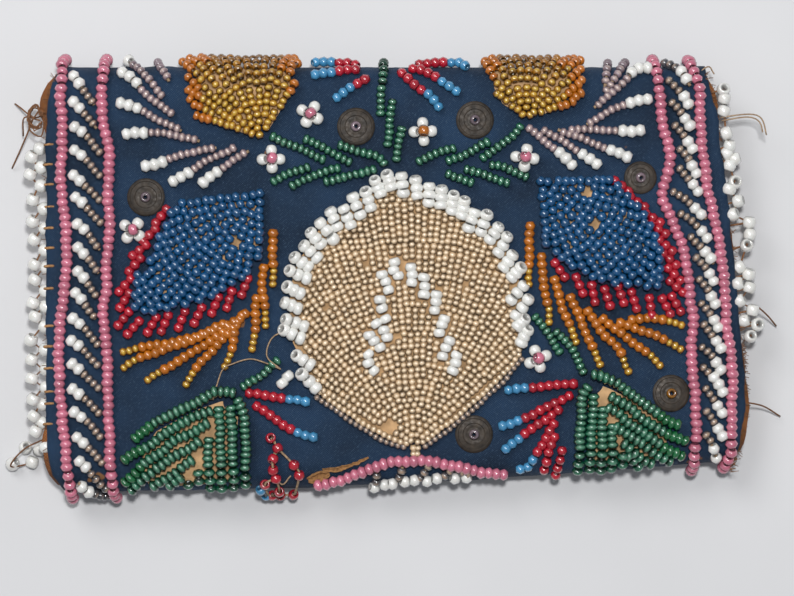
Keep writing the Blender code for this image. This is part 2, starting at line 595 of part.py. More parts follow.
def flowers(materials, parts):
    """Four white beads round one coloured bead, drawn tight on one thread."""
    lift = CLEARANCE + WHITE_BEAD / 2
    for number, flower in enumerate(FLOWERS):
        x, y = clear_of_rim(flower, FLOWER_PITCH + WHITE_BEAD)
        bodies = [bead(on_cover(x, y, lift), PINK_BEAD)]
        for quarter in range(4):
            turn = math.radians(FLOWER_TURN + 90 * quarter)
            petal = on_cover(x + FLOWER_PITCH * math.cos(turn), y + FLOWER_PITCH * math.sin(turn), lift)
            bodies.append(bead(petal, WHITE_BEAD))
        joined(f"flower_{number + 1}", materials["white"], bodies, parts)


def spangles(materials, parts):
    """Thin metal discs, each held down by a bead that its thread passes through."""
    for number, spangle in enumerate(SPANGLES):
        x, y = clear_of_rim(spangle, CLEARANCE + SPANGLE_DIAMETER / 2)
        mesh = bpy.data.meshes.new("spangle")
        disc = bmesh.new()
        bmesh.ops.create_cone(disc, cap_ends=True, segments=14, radius1=SPANGLE_DIAMETER * MM / 2,
                              radius2=SPANGLE_DIAMETER * MM / 2, depth=SPANGLE_THICKNESS * MM)
        bmesh.ops.translate(disc, verts=disc.verts,
                            vec=on_cover(x, y, CLEARANCE + SPANGLE_THICKNESS / 2))
        disc.to_mesh(mesh)
        disc.free()
        bodies = [bpy.data.objects.new("spangle", mesh)]
        bodies.append(bead(on_cover(x, y, CLEARANCE + SPANGLE_THICKNESS + BEAD_SEAT), CLEAR_BEAD))
        joined(f"spangle_{number + 1}", materials["tarnish"], bodies, parts)


def edging(materials, parts):
    """White beads in a zigzag down each side edge, on one thread."""
    level = HEIGHT - COVER_THICKNESS
    high, low, count = EDGING_LEFT
    edge_left = LEFT_EDGE[2][1] - EDGE_BEAD / 2 - CLEARANCE
    left = []
    for number in range(count):
        y = high + (low - high) * number / (count - 1)
        x = edge_left - (EDGING_ZIGZAG if number % 2 else 0.0)
        left.append(Vector((x, y, level)) * MM)
    string = tube("edge_beads_left", left, EDGE_BEAD)
    joined("edge_beads_left", materials["white"], [string], parts)
    right = [Vector((x, y, level)) * MM for x, y in EDGING_RIGHT]
    string = tube("edge_beads_right", right, EDGE_BEAD)
    joined("edge_beads_right", materials["white"], [string], parts)


def borders(materials, parts):
    """Two pink lines down each side of the flap, with slanting strands between them."""
    lift = CLEARANCE + PINK_BEAD / 2
    lines = {"pink_line_outer_left": OUTER_LINE_LEFT, "pink_line_inner_left": INNER_LINE_LEFT,
             "pink_line_inner_right": INNER_LINE_RIGHT, "pink_line_outer_right": OUTER_LINE_RIGHT}
    for name, points in lines.items():
        joined(name, materials["pink"], [tube(name, laid(points, lift), PINK_BEAD)], parts)
    left = [RUNG_TOP_LEFT - RUNG_PITCH_LEFT * step for step in range(RUNGS_LEFT)]
    right = [RUNG_TOP_RIGHT - RUNG_PITCH_RIGHT * step for step in range(RUNGS_RIGHT)]
    rungs("rung_beads_left", materials["clear"], sorted((y, x) for x, y in OUTER_LINE_LEFT),
          sorted((y, x) for x, y in INNER_LINE_LEFT), left, parts)
    rungs("rung_beads_right", materials["clear"], sorted((y, x) for x, y in INNER_LINE_RIGHT),
          sorted((y, x) for x, y in OUTER_LINE_RIGHT), right, parts)
    arch = [tube("arch_line", laid(ARCH_LINE, lift), PINK_BEAD)]
    joined("arch_line", materials["pink"], arch, parts)
    threaded("arch_rungs", materials["clear"], ARCH_RUNGS, CLEAR_BEAD, parts, 0)


def leaves(materials, parts):
    """The filled leaves with their paper patterns, and the red tips round the blue ones."""
    leaf("amber", "left", AMBER_LEFT, STEPS_ROUND_FOLD, 0.0, materials, parts)
    leaf("amber", "right", AMBER_RIGHT, STEPS_ROUND_FOLD, 0.0, materials, parts)
    leaf("blue", "left", BLUE_LEFT, STEPS_ON_FLAP, TIP_ROOM, materials, parts)
    leaf("blue", "right", BLUE_RIGHT, STEPS_ON_FLAP, TIP_ROOM, materials, parts)
    leaf("green", "left", GREEN_LEAF_LEFT, STEPS_ROUND_FOLD, 0.0, materials, parts)
    leaf("green", "right", GREEN_LEAF_RIGHT, STEPS_ROUND_FOLD, 0.0, materials, parts)
    threaded("red_tips_left", materials["red"], RED_GROUPS_LEFT, RED_BEAD, parts, 0)
    threaded("red_tips_right", materials["red"], RED_GROUPS_RIGHT, RED_BEAD, parts, 0)


def sprays(materials, parts):
    """The open strands that fan out round the leaves and the medallion."""
    runs = {"lavender_spray_left": (LAVENDER_LEFT, CLEAR_BEAD, "lavender", 0),
            "lavender_spray_right": (LAVENDER_RIGHT, CLEAR_BEAD, "lavender", 0),
            "red_spray_top_left": (RED_SPRAY_TOP_LEFT, RED_BEAD, "red", 1),
            "red_spray_top_right": (RED_SPRAY_TOP_RIGHT, RED_BEAD, "red", 1),
            "red_spray_bottom_left": (RED_SPRAY_BOTTOM_LEFT, RED_BEAD, "red", 1),
            "red_spray_bottom_right": (RED_SPRAY_BOTTOM_RIGHT, RED_BEAD, "red", 1),
            "green_stem_top": (GREEN_STEM_TOP, GREEN_BEAD, "green", 0),
            "green_fern_left": (GREEN_FERN_LEFT, GREEN_BEAD, "green", 1),
            "green_fern_right": (GREEN_FERN_RIGHT, GREEN_BEAD, "green", 1),
            "green_stem_left": (GREEN_STEM_LEFT, GREEN_BEAD, "green", 1),
            "green_stem_right": (GREEN_STEM_RIGHT, GREEN_BEAD, "green", 1),
            "broken_string": (BROKEN_STRING, RED_BEAD, "red", 1),
            "loose_pair": (LOOSE_PAIR, WHITE_BEAD, "white", 1)}
    for name, (lists, diameter, colour, resolution) in runs.items():
        threaded(name, materials[colour], lists, diameter, parts, resolution)
    branched("orange_frond_left", materials["orange"], FROND_LEFT, ORANGE_BEAD, parts)
    branched("orange_frond_right", materials["orange"], FROND_RIGHT, ORANGE_BEAD, parts)


def main():
    clear_scene()
    parts = new_collection("beaded_bag")
    materials = {
        "navy": new_material("navy_cotton", NAVY, 0.8),
        "brown": new_material("brown_lining", BROWN, 0.9),
        "paper": new_material("tan_paper", CLEAR, 0.85),
        "pink": new_material("pink_glass", PINK, 0.25),
        "white": new_material("white_glass", WHITE, 0.2),
        "clear": new_material("clear_glass", CLEAR, 0.1),
        "lavender": new_material("lavender_glass", LAVENDER, 0.15),
        "beige": new_material("beige_glass", BEIGE, 0.25),
        "amber": new_material("amber_glass", AMBER, 0.15),
        "orange": new_material("orange_glass", ORANGE, 0.25),
        "blue": new_material("blue_glass", BLUE, 0.2),
        "red": new_material("red_glass", RED, 0.2),
        "green": new_material("green_glass", GREEN, 0.15),
        "tarnish": new_material("tarnished_brass", TARNISH, 0.5, 0.8)}
    cloth("outer_cover", materials["navy"], 0.0, COVER_THICKNESS, parts)
    cloth("lining", materials["brown"], COVER_THICKNESS + CLEARANCE, LINING_THICKNESS, parts)
    borders(materials, parts)
    edging(materials, parts)
    medallion(materials, parts)
    leaves(materials, parts)
    sprays(materials, parts)
    flowers(materials, parts)
    spangles(materials, parts)
    sew(parts)


main()
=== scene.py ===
"""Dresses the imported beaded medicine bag: cloth, paper patterns, thread and every bead."""
import math
import random
from collections import defaultdict, namedtuple

import bpy
import numpy as np
from mathutils import Matrix, Vector, noise


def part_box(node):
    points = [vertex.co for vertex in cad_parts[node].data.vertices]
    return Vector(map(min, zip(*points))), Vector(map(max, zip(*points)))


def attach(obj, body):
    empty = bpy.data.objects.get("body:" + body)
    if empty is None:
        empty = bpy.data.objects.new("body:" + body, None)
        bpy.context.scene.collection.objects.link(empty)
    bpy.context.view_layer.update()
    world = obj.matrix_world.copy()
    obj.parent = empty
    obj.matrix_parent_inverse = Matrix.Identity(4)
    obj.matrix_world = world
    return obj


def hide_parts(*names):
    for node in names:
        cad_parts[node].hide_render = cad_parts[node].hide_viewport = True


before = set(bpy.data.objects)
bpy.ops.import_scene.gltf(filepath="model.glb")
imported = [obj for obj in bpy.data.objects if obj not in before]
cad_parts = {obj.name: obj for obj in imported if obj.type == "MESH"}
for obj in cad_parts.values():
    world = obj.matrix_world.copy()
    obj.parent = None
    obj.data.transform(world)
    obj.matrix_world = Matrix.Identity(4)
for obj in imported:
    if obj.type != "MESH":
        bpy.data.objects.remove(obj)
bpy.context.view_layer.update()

bl_info = {
    "name": "Beaded medicine bag",
    "version": (1, 0, 0),
    "blender": (4, 5, 0),
    "location": "View3D > Sidebar > Beaded Bag",
    "description": "Makes the cloth, paper, thread and glass beads of a folded beadwork bag",
    "category": "Object",
}

MM = 0.001
Bead = namedtuple("Bead", "centre axis size length tone")

# The folded strip, in millimetres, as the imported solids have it
HEIGHT = 11.0
FOLD_RADIUS = 5.5
COVER_THICKNESS = 0.8
LINING_THICKNESS = 0.7
CLEARANCE = 0.3
TOP_EDGE = 45.8
FALLEN_LEVEL = 1.7
TONGUE_END = -22.0
STEP_START = -15.0
STEP_END = -19.0
STEP_HEIGHT = 2.4
INNER_FOLD_RADIUS = 2.9
POCKET_MOUTH = 38.0
LEFT_EDGE = [(-46, -71.5), (-42, -73.9), (-36, -75.1), (36, -75.1), (42, -73.8), (46, -72.0)]
RIGHT_EDGE = [(-41, 72.6), (-36, 74.2), (-28, 75.3), (-20, 75.2), (-11, 74.3), (9, 72.5),
              (24, 70.8), (36, 69.1), (44, 67.1)]

# Medallion
TIP = (4.4, -36.4)
MEDALLION_BED = 0.85
# Each spoke of the rim: its outer and its inner bead
RIM = [((-19.9, -20.7), (-17.0, -23.6)), ((-21.1, -16.6), (-18.2, -18.6)), ((-23.8, -11.2), (-20.3, -12.9)),
       ((-23.2, -9.0), (-19.5, -10.4)), ((-23.6, -5.4), (-20.7, -6.5)), ((-23.0, -2.0), (-20.3, -3.4)),
       ((-22.6, 1.5), (-18.9, -0.1)), ((-21.4, 4.3), (-18.6, 2.3)), ((-19.5, 6.9), (-16.6, 4.4)),
       ((-18.0, 9.7), (-16.0, 7.3)), ((-16.0, 11.8), (-13.3, 8.3)), ((-13.9, 14.3), (-12.3, 11.0)),
       ((-11.0, 14.8), (-9.4, 11.4)), ((-9.1, 17.3), (-7.5, 13.6)), ((-6.2, 18.5), (-5.1, 15.1)),
       ((-4.3, 20.9), (-3.0, 18.0)), ((-1.6, 22.0), (-0.8, 19.6)), ((1.4, 21.9), (1.7, 18.2)),
       ((4.5, 20.9), (4.8, 17.6)), ((7.3, 19.7), (7.3, 16.1)), ((10.0, 18.9), (9.9, 15.5)),
       ((12.6, 17.6), (12.2, 14.3)), ((15.0, 16.4), (14.3, 13.4)), ((17.1, 14.1), (15.7, 10.8)),
       ((19.6, 13.4), (18.4, 9.9)), ((22.1, 10.8), (20.4, 8.3)), ((24.1, 8.7), (22.1, 5.4)),
       ((25.2, 4.8), (23.3, 2.3)), ((26.9, 2.1), (25.0, 0.1)), ((27.5, -1.8), (25.0, -4.7)),
       ((28.5, -4.7), (26.0, -8.0)), ((27.8, -8.9), (26.2, -10.4)), ((28.5, -11.2), (27.0, -13.9))]
PEAK = [(-0.1, 3.4), (-0.3, 1.7), (0.7, 0.5), (-2.8, 0.7), (-2.0, -0.8), (-1.4, -2.6),
        (-3.2, -4.7), (-2.8, -6.5), (-2.0, -8.8), (-4.0, -9.8), (-5.5, -12.3), (-4.5, -13.5),
        (-3.2, -14.9), (-2.4, -11.2), (-1.7, -12.7), (-5.7, -16.4), (-5.7, -18.2), (-4.5, -19.9),
        (3.4, 2.3), (3.7, 0.7), (3.6, -1.0), (6.2, 0.1), (6.4, -1.8), (6.2, -3.6),
        (8.9, -3.6), (8.8, -5.1), (8.5, -6.9), (10.6, -8.8), (10.1, -10.0), (9.5, -11.7),
        (11.7, -13.5), (10.9, -14.9), (10.2, -16.8), (13.2, -16.6), (13.0, -18.2), (12.4, -19.9)]
POINT_LEFT = [(-16.6, -24.2), (-10.4, -28.7), (-4.7, -32.4), (-1.4, -34.1), (2.9, -35.6)]
POINT_RIGHT = [(27.0, -16.0), (22.5, -21.3), (16.7, -26.7), (11.4, -31.2), (5.9, -35.2)]

# Lines and strands of beads: (x, y) on the flap, y going on round the folds
OUTER_LINE_LEFT = [(-71.6, 49.6), (-71.7, 45.4), (-71.8, 38.3), (-71.4, 31.4), (-71.8, 21.1),
                   (-70.7, 10.3), (-70.7, 1.5), (-71.8, -8.6), (-72.2, -14.4), (-72.0, -24.1),
                   (-71.2, -32.7), (-70.5, -39.6), (-70.0, -45.4), (-69.8, -49.6)]
INNER_LINE_LEFT = [(-62.6, 49.6), (-62.8, 43.6), (-63.0, 35.5), (-61.3, 26.4), (-61.7, 18.9),
                   (-61.3, 10.3), (-62.1, 3.4), (-61.9, -1.5), (-62.8, -7.7), (-61.9, -15.5),
                   (-61.7, -25.2), (-61.3, -34.2), (-61.1, -41.1), (-60.6, -45.6), (-60.4, -49.4)]
INNER_LINE_RIGHT = [(56.0, 49.4), (56.1, 44.7), (57.0, 39.6), (57.2, 34.8), (58.9, 27.5),
                    (59.1, 24.3), (57.4, 18.1), (59.1, 13.3), (61.3, 8.2), (62.6, 3.0), (63.4, -4.1),
                    (64.1, -9.0), (63.6, -16.3), (64.3, -22.6), (64.7, -30.7), (64.5, -37.0),
                    (64.3, -43.4)]
OUTER_LINE_RIGHT = [(63.4, 49.4), (63.8, 45.4), (65.4, 40.9), (65.6, 33.3), (66.4, 25.2),
                    (67.3, 18.5), (69.0, 11.4), (70.0, 5.2), (70.9, -2.2), (71.2, -9.7),
                    (72.3, -17.6), (72.5, -24.1), (72.3, -30.1), (72.3, -36.8), (71.6, -38.9),
                    (71.2, -42.6)]
ARCH_LINE = [(-17.2, -44.4), (-14.8, -43.7), (-10.3, -42.6), (-5.8, -40.8), (-1.1, -39.6),
             (5.2, -39.2), (10.8, -39.7), (17.6, -41.0), (24.2, -42.0)]
RUNGS_LEFT = (18, 42.4, 5.12)
RUNGS_RIGHT = (18, 46.4, 4.72)
RUNG_DROP = 5.0
RUNG_SAG = 0.5
ARCH_RUNGS = [((-4.0, -41.6), (-4.2, -44.9)), ((1.6, -40.6), (0.6, -43.8)), ((7.5, -39.9), (5.3, -43.2)),
              ((12.5, -41.2), (9.9, -43.2)), ((13.6, -41.6), (15.8, -42.3))]
ARCH_WHITES = [(-4.5, -45.2), (-2.2, -44.6), (-0.6, -44.4), (2.1, -43.9), (4.2, -43.6), (6.9, -43.8),
               (9.0, -43.2), (12.9, -43.2), (15.4, -43.0)]
EDGING_LEFT_OUTER = [(-78.4, 26.1), (-78.7, 22.3), (-78.1, 16.9), (-78.1, 12.2), (-77.8, 8.3), (-77.7, 2.9),
                     (-77.7, -0.4), (-78.1, -5.4), (-77.6, -8.3), (-78.5, -13.4), (-78.3, -17.6),
                     (-78.3, -21.7), (-78.0, -26.2), (-77.9, -29.8), (-77.5, -33.1)]
EDGING_LEFT_INNER = [(-77.3, 27.9), (-77.0, 23.9), (-77.0, 19.9), (-76.4, 14.9), (-76.2, 10.7),
                     (-76.2, 6.0), (-76.0, 2.2), (-76.1, -2.8), (-76.0, -6.2), (-76.2, -10.5),
                     (-76.2, -15.5), (-76.0, -19.7), (-75.9, -23.6), (-76.7, -27.3), (-76.8, -31.2),
                     (-76.0, -36.5)]
EDGING_RIGHT = [(70.8, 40.6, "up"), (71.0, 38.7, "down"), (70.9, 36.0, "down"), (71.4, 31.2, "out"),
                (72.1, 28.5, "down"), (71.6, 26.9, "out"), (73.3, 25.7, "out"), (72.1, 24.3, "down"),
                (73.3, 20.7, "up"), (72.0, 19.2, "down"), (74.0, 16.6, "out"), (72.8, 13.7, "out"),
                (76.4, 12.0, "down"), (76.5, 9.4, "down"), (75.8, 7.0, "up"), (74.3, 2.4, "out"),
                (76.3, 0.8, "down"), (73.9, -1.2, "out"), (76.4, -2.1, "down"), (74.3, -4.9, "out"),
                (77.1, -6.9, "down"), (75.3, -9.2, "out"), (78.2, -10.0, "up"), (76.6, -12.6, "up")]
LOOSE_EDGING = [(-80.8, -37.0, (0.5, 0.4, 1)), (-83.6, -40.6, (1, 0.5, 0.3)), (-79.4, -40.2, (0.3, 1, 0.2)),
                (-77.6, -37.4, (1, 0.2, 0.4))]
EDGE_STITCHES = [28.7, 24.4, 20.1, 15.3, 10.7, 6.4, 2.5, -2.3, -10.4, -14.8, -19.5, -24.5, -27.1, -31.5]

LAVENDER_LEFT = [
    [(-51.6, 48.4), (-50.6, 45.4), (-48.6, 42.0)],
    [(-58.4, 48.0), (-55.9, 45.6), (-50.1, 39.3)],
    [(-59.6, 43.8), (-57.5, 43.1), (-52.7, 38.9), (-47.6, 35.0)],
    [(-59.9, 37.8), (-56.6, 37.0), (-50.8, 34.0), (-45.9, 31.6)],
    [(-58.6, 30.7), (-54.5, 31.3), (-48.3, 30.9), (-42.0, 29.4)],
    [(-54.5, 23.9), (-50.5, 24.8), (-44.9, 26.8), (-38.4, 28.0)],
    [(-48.4, 20.2), (-45.7, 21.8), (-40.5, 25.2), (-34.6, 27.9)],
    [(-41.9, 19.9), (-39.9, 21.5), (-34.9, 25.2), (-31.4, 27.3)]]
LAVENDER_RIGHT = [
    [(46.0, 48.0), (45.8, 44.8), (45.1, 40.8)],
    [(50.2, 47.6), (48.6, 44.6), (45.4, 40.2)],
    [(55.4, 44.8), (52.4, 44.5), (50.2, 42.8), (46.4, 39.6), (42.8, 36.6)],
    [(55.2, 38.4), (51.4, 37.9), (46.9, 36.3), (41.2, 33.0)],
    [(53.6, 32.0), (49.2, 31.5), (43.5, 32.0), (37.8, 31.9)],
    [(50.8, 25.8), (46.7, 27.3), (41.7, 29.4), (35.0, 31.9)],
    [(44.0, 23.8), (40.6, 26.4), (36.5, 29.2), (31.8, 31.9)],
    [(38.8, 23.8), (35.6, 26.6), (32.6, 29.2), (28.8, 32.2)]]
LAVENDER_TIPS_LEFT = [0, 1, 3, 3, 3, 3, 3, 3]
LAVENDER_TIPS_RIGHT = [0, 0, 3, 3, 3, 3, 3, 3]
RED_SPRAY_TOP_LEFT = [
    [(-17.9, 46.9), (-15.5, 47.7), (-9.6, 46.4), (-8.4, 45.9)],
    [(-18.0, 43.0), (-14.9, 43.7), (-9.8, 44.4), (-7.2, 44.2)],
    [(-13.3, 38.4), (-10.5, 40.3), (-5.4, 42.8)]]
RED_SPRAY_TOP_RIGHT = [
    [(4.4, 46.2), (8.0, 46.9), (13.2, 47.2), (14.6, 46.2), (16.4, 44.6)],
    [(3.0, 45.0), (6.2, 44.2), (10.2, 41.8), (14.6, 39.6)],
    [(0.8, 44.2), (3.6, 41.8), (6.9, 39.6), (9.6, 36.6)]]
RED_SPRAY_BOTTOM_LEFT = [
    [(-32.2, -24.6), (-23.0, -26.0), (-17.6, -26.9)],
    [(-30.4, -27.0), (-21.5, -33.0), (-15.9, -34.4)]]
RED_SPRAY_BOTTOM_RIGHT = [
    [(39.2, -22.6), (27.5, -23.7), (23.6, -24.1)],
    [(38.2, -24.9), (26.4, -30.8), (22.6, -31.8)],
    [(35.8, -27.9), (26.4, -34.6), (23.6, -37.0)],
    [(34.6, -30.6), (29.2, -39.6), (26.6, -40.6)],
    [(34.4, -33.3), (31.6, -42.4)],
    [(35.9, -36.2), (34.6, -43.4)]]
GREEN_STEM_TOP = [
    [(-3.2, 34.8), (-2.6, 43.6), (-2.3, 47.6)],
    [(-0.6, 38.5), (-1.7, 27.7)],
    [(1.5, 32.7), (0.2, 25.4)]]
GREEN_FERN_LEFT = [
    [(-4.0, 23.4), (-7.4, 22.6), (-12.6, 21.2), (-15.2, 20.7)],
    [(-2.0, 24.1), (-3.3, 25.8), (-8.3, 27.4), (-11.8, 28.5)],
    [(-19.6, 30.2), (-13.3, 26.9), (-10.4, 25.2), (-9.0, 24.4)],
    [(-26.8, 30.6), (-17.8, 26.6), (-14.8, 25.3)],
    [(-22.6, 19.6), (-16.1, 22.6), (-11.9, 23.6)],
    [(-26.6, 20.5), (-22.2, 22.7), (-18.1, 24.1)]]
GREEN_FERN_RIGHT = [
    [(4.6, 24.9), (9.4, 27.0), (13.3, 28.2)],
    [(11.0, 24.9), (15.3, 26.7), (20.2, 29.4)],
    [(18.4, 25.6), (24.5, 29.8), (27.4, 33.2)],
    [(20.2, 24.2), (23.2, 23.9), (26.5, 22.5), (29.2, 21.1)],
    [(14.8, 23.5), (17.2, 23.0), (20.6, 21.6), (25.0, 20.4)],
    [(10.9, 22.7), (16.4, 20.4)]]
GREEN_STEM_LEFT = [[(-24.8, -17.4), (-29.2, -21.2), (-33.6, -24.0)]]
GREEN_STEM_RIGHT = [[(29.8, -7.8), (32.2, -11.0), (35.6, -16.2)],
                    [(34.2, -11.2), (37.4, -14.3), (39.6, -18.2), (40.9, -21.0)]]
FROND_LEFT = [
    [(-26.4, 10.4), (-26.3, 7.8), (-26.2, 0.3), (-26.2, -2.8)],
    [(-28.2, 3.0), (-28.6, -1.6), (-28.0, -6.8), (-27.6, -11.7)],
    [(-29.6, -3.6), (-29.9, -6.6), (-30.3, -13.4), (-31.0, -16.6)],
    [(-31.6, -7.0), (-33.9, -9.6), (-35.3, -15.9), (-36.8, -19.8)],
    [(-32.4, -7.4), (-36.0, -12.0), (-42.6, -19.2), (-45.2, -23.2)],
    [(-34.0, -8.8), (-38.6, -12.8), (-49.5, -19.6), (-53.6, -22.2)],
    [(-35.4, -9.8), (-44.0, -13.4), (-55.3, -17.4), (-58.6, -19.4)],
    [(-36.2, -9.6), (-44.0, -12.9), (-54.0, -14.8), (-59.0, -16.0)]]
FROND_RIGHT = [
    [(29.0, 12.0), (28.8, 2.6), (28.7, -2.4)],
    [(31.5, 5.4), (31.9, -1.1), (32.9, -6.0), (33.2, -9.9)],
    [(34.1, 0.4), (35.5, -5.0), (37.2, -9.4), (39.0, -13.9)],
    [(37.4, -3.4), (40.1, -9.4), (41.6, -13.2), (44.2, -18.6)],
    [(41.0, -6.4), (44.5, -11.6), (47.9, -15.1), (50.5, -20.7)],
    [(44.1, -8.2), (48.4, -11.8), (54.1, -16.0), (58.0, -19.7)],
    [(47.6, -9.6), (51.6, -10.7), (57.9, -13.2), (61.8, -15.6)],
    [(50.1, -8.8), (54.0, -8.7), (58.2, -9.0), (62.4, -10.6)]]
RED_GROUPS_LEFT = [
    ((-31.7, -0.3), (-32.8, -3.2)), ((-35.1, -3.0), (-36.0, -6.0)), ((-38.0, -4.3), (-39.3, -7.4)),
    ((-41.6, -6.5), (-43.1, -9.6)), ((-45.2, -7.4), (-46.5, -10.6)), ((-48.8, -8.2), (-50.1, -11.2)),
    ((-51.4, -8.6), (-53.1, -11.6)), ((-55.1, -9.4), (-57.4, -12.0)), ((-57.3, -7.4), (-59.0, -9.6)),
    ((-57.2, -3.4), (-58.6, -5.6)), ((-56.9, -0.3), (-58.8, -2.4)), ((-54.8, 4.1), (-56.8, 1.8)),
    ((-53.6, 7.0), (-55.5, 5.5)), ((-51.6, 10.4), (-53.2, 8.8)), ((-49.2, 14.6), (-50.6, 12.8))]
RED_GROUPS_RIGHT = [
    ((34.5, 3.1), (36.4, 0.3)), ((39.0, 0.0), (40.0, -2.4)), ((42.3, -1.7), (42.9, -4.8)),
    ((45.1, -2.6), (46.1, -5.6)), ((48.0, -2.0), (49.1, -5.2)), ((50.9, -3.2), (51.8, -6.2)),
    ((54.7, -4.5), (55.1, -7.4)), ((57.5, -4.6), (59.0, -7.4)), ((59.6, -4.1), (60.8, -6.2)),
    ((59.2, -0.8), (60.6, -2.0)), ((58.8, 2.0), (60.2, 0.6)), ((57.8, 5.2), (59.2, 3.9)),
    ((56.9, 8.1), (58.3, 6.9)), ((55.2, 11.5), (56.8, 10.4)), ((54.0, 13.9), (55.2, 13.1)),
    ((50.7, 17.3), (52.6, 16.0)), ((47.4, 20.8), (48.8, 19.7))]

# Leaves: the corner their rows spread from, and the outline that the rows reach
AMBER_LEFT = ((-28.6, 29.6), [(-43.0, 34.2), (-44.9, 38.6), (-45.2, 42.4), (-45.8, 48.2),
                              (-34.0, 48.6), (-22.4, 48.4), (-20.6, 44.4), (-22.0, 39.6)])
AMBER_RIGHT = ((27.8, 34.0), [(22.6, 38.0), (20.4, 41.4), (18.6, 45.6), (20.6, 48.2), (30.0, 48.6),
                              (39.6, 48.0), (40.8, 43.6), (40.6, 39.6), (37.4, 36.6)])
BLUE_LEFT = ((-28.0, 19.0), [(-47.0, 16.6), (-50.2, 11.6), (-52.8, 4.3), (-55.9, 0.5), (-56.2, -3.0),
                             (-57.0, -6.4), (-54.2, -8.4), (-50.7, -7.4), (-44.3, -6.6), (-37.6, -3.6),
                             (-31.6, 0.4), (-28.4, 5.2)])
BLUE_RIGHT = ((30.4, 21.6), [(31.6, 7.4), (33.6, 5.2), (38.1, 1.8), (44.7, -1.2), (52.7, -2.6),
                             (57.2, -2.4), (58.2, 2.4), (56.8, 8.8), (53.4, 14.6), (49.8, 18.6),
                             (46.2, 22.0)])
# The green leaves' rows, as seen from above
GREEN_LEFT = [
    [(-34.1, -24.6), (-37.2, -24.4), (-39.4, -24.7), (-43.7, -27.3), (-48.1, -29.2), (-51.9, -31.4),
     (-54.1, -33.0), (-56.5, -34.9)],
    [(-39.1, -28.4), (-42.7, -29.7), (-45.9, -31.2), (-49.9, -33.8), (-52.5, -35.8), (-54.5, -36.9),
     (-56.9, -38.2), (-58.9, -39.7)],
    [(-39.8, -31.0), (-43.1, -33.0), (-47.3, -34.9), (-50.1, -37.4), (-51.9, -38.4), (-54.1, -40.2),
     (-56.7, -42.6), (-58.9, -44.6)],
    [(-41.6, -34.9), (-43.7, -36.3), (-47.0, -38.0), (-49.7, -40.0), (-51.9, -41.3), (-54.7, -43.7),
     (-56.9, -45.7)],
    [(-43.1, -38.9), (-45.1, -40.2), (-47.9, -42.2), (-50.3, -43.7), (-52.5, -45.0)],
    [(-45.5, -42.4), (-47.3, -43.7), (-49.0, -45.0)],
    [(-33.9, -25.7), (-32.6, -29.0), (-32.1, -33.0), (-32.1, -45.0)],
    [(-35.2, -27.3), (-35.0, -33.0), (-34.6, -45.0)],
    [(-37.8, -27.5), (-37.5, -33.0), (-37.2, -45.0)],
    [(-40.0, -34.1), (-40.1, -38.4), (-39.6, -45.0)],
    [(-42.4, -40.9), (-42.0, -45.0)],
    [(-44.4, -43.5), (-44.3, -45.0)]]
GREEN_RIGHT = [
    [(42.1, -20.7), (44.3, -21.1), (47.3, -22.2), (49.5, -24.2), (52.2, -25.9), (54.6, -27.7),
     (58.3, -30.5), (61.4, -31.6)],
    [(46.0, -25.1), (48.7, -26.8), (50.9, -28.1), (52.8, -29.9), (55.2, -31.6), (59.4, -33.8),
     (62.9, -35.5)],
    [(45.2, -27.7), (47.8, -29.0), (49.5, -30.5), (52.2, -32.5), (56.6, -35.4), (58.8, -36.9),
     (62.7, -38.6)],
    [(46.9, -31.6), (48.7, -32.7), (50.9, -34.3), (54.8, -36.7), (57.2, -38.4), (59.4, -39.5)],
    [(48.7, -35.2), (50.4, -36.7), (52.6, -38.4), (56.1, -40.2)],
    [(49.5, -38.0), (50.9, -38.9), (52.8, -40.6)],
    [(41.6, -22.9), (40.2, -25.5), (39.9, -30.8), (39.6, -36.2), (39.3, -41.5)],
    [(42.7, -24.8), (42.3, -30.8), (42.0, -36.2), (41.9, -41.3)],
    [(44.5, -27.5), (44.5, -33.0), (44.3, -41.1)],
    [(46.7, -31.2), (46.6, -36.2), (46.6, -41.0)],
    [(48.7, -37.3), (49.0, -40.9)]]
LEAF_BED = 0.95

SPANGLE_PROFILE = [(1.0, 0.0), (0.97, 0.03), (0.88, 0.045), (0.84, 0.02), (0.74, 0.035), (0.62, 0.05),
                   (0.58, 0.025), (0.46, 0.045), (0.4, 0.02), (0.3, 0.03), (0.2, 0.05), (0.12, 0.02)]
SPANGLE_SHEET = 0.22
# Each flower's place, its turn in degrees and the colour of its middle
FLOWERS = [(-18.3, 35.2, -30, "pink"), (-26.6, 25.6, 4, "pink"), (6.0, 31.4, 0, "orange"),
           (27.9, 25.9, -8, "pink"), (-56.4, 10.2, 55, "pink"), (30.7, -17.4, 22, "pink")]
LOOSE_PAIR = [(-23.0, -21.1), (-24.2, -22.6)]
# Each spangle's place, its width as a share of the full one, and the kind of bead that holds it
SPANGLES = [(-8.4, 32.6, 1.0, "lavender"), (17.2, 34.0, 1.0, "lavender"), (-53.6, 17.4, 1.0, "lavender"),
            (52.8, 21.6, 0.86, "lavender"), (17.0, -33.6, 1.0, "lavender"), (59.4, -24.8, 0.98, "amber")]
BROKEN_REDS = [(-26.7, -34.4), (-25.2, -36.6), (-26.2, -38.9), (-26.2, -41.3), (-25.6, -43.2),
               (-28.0, -44.5), (-25.0, -46.2), (-21.7, -40.2), (-20.6, -42.4), (-22.1, -47.5),
               (-24.9, -49.2), (-26.7, -49.0)]
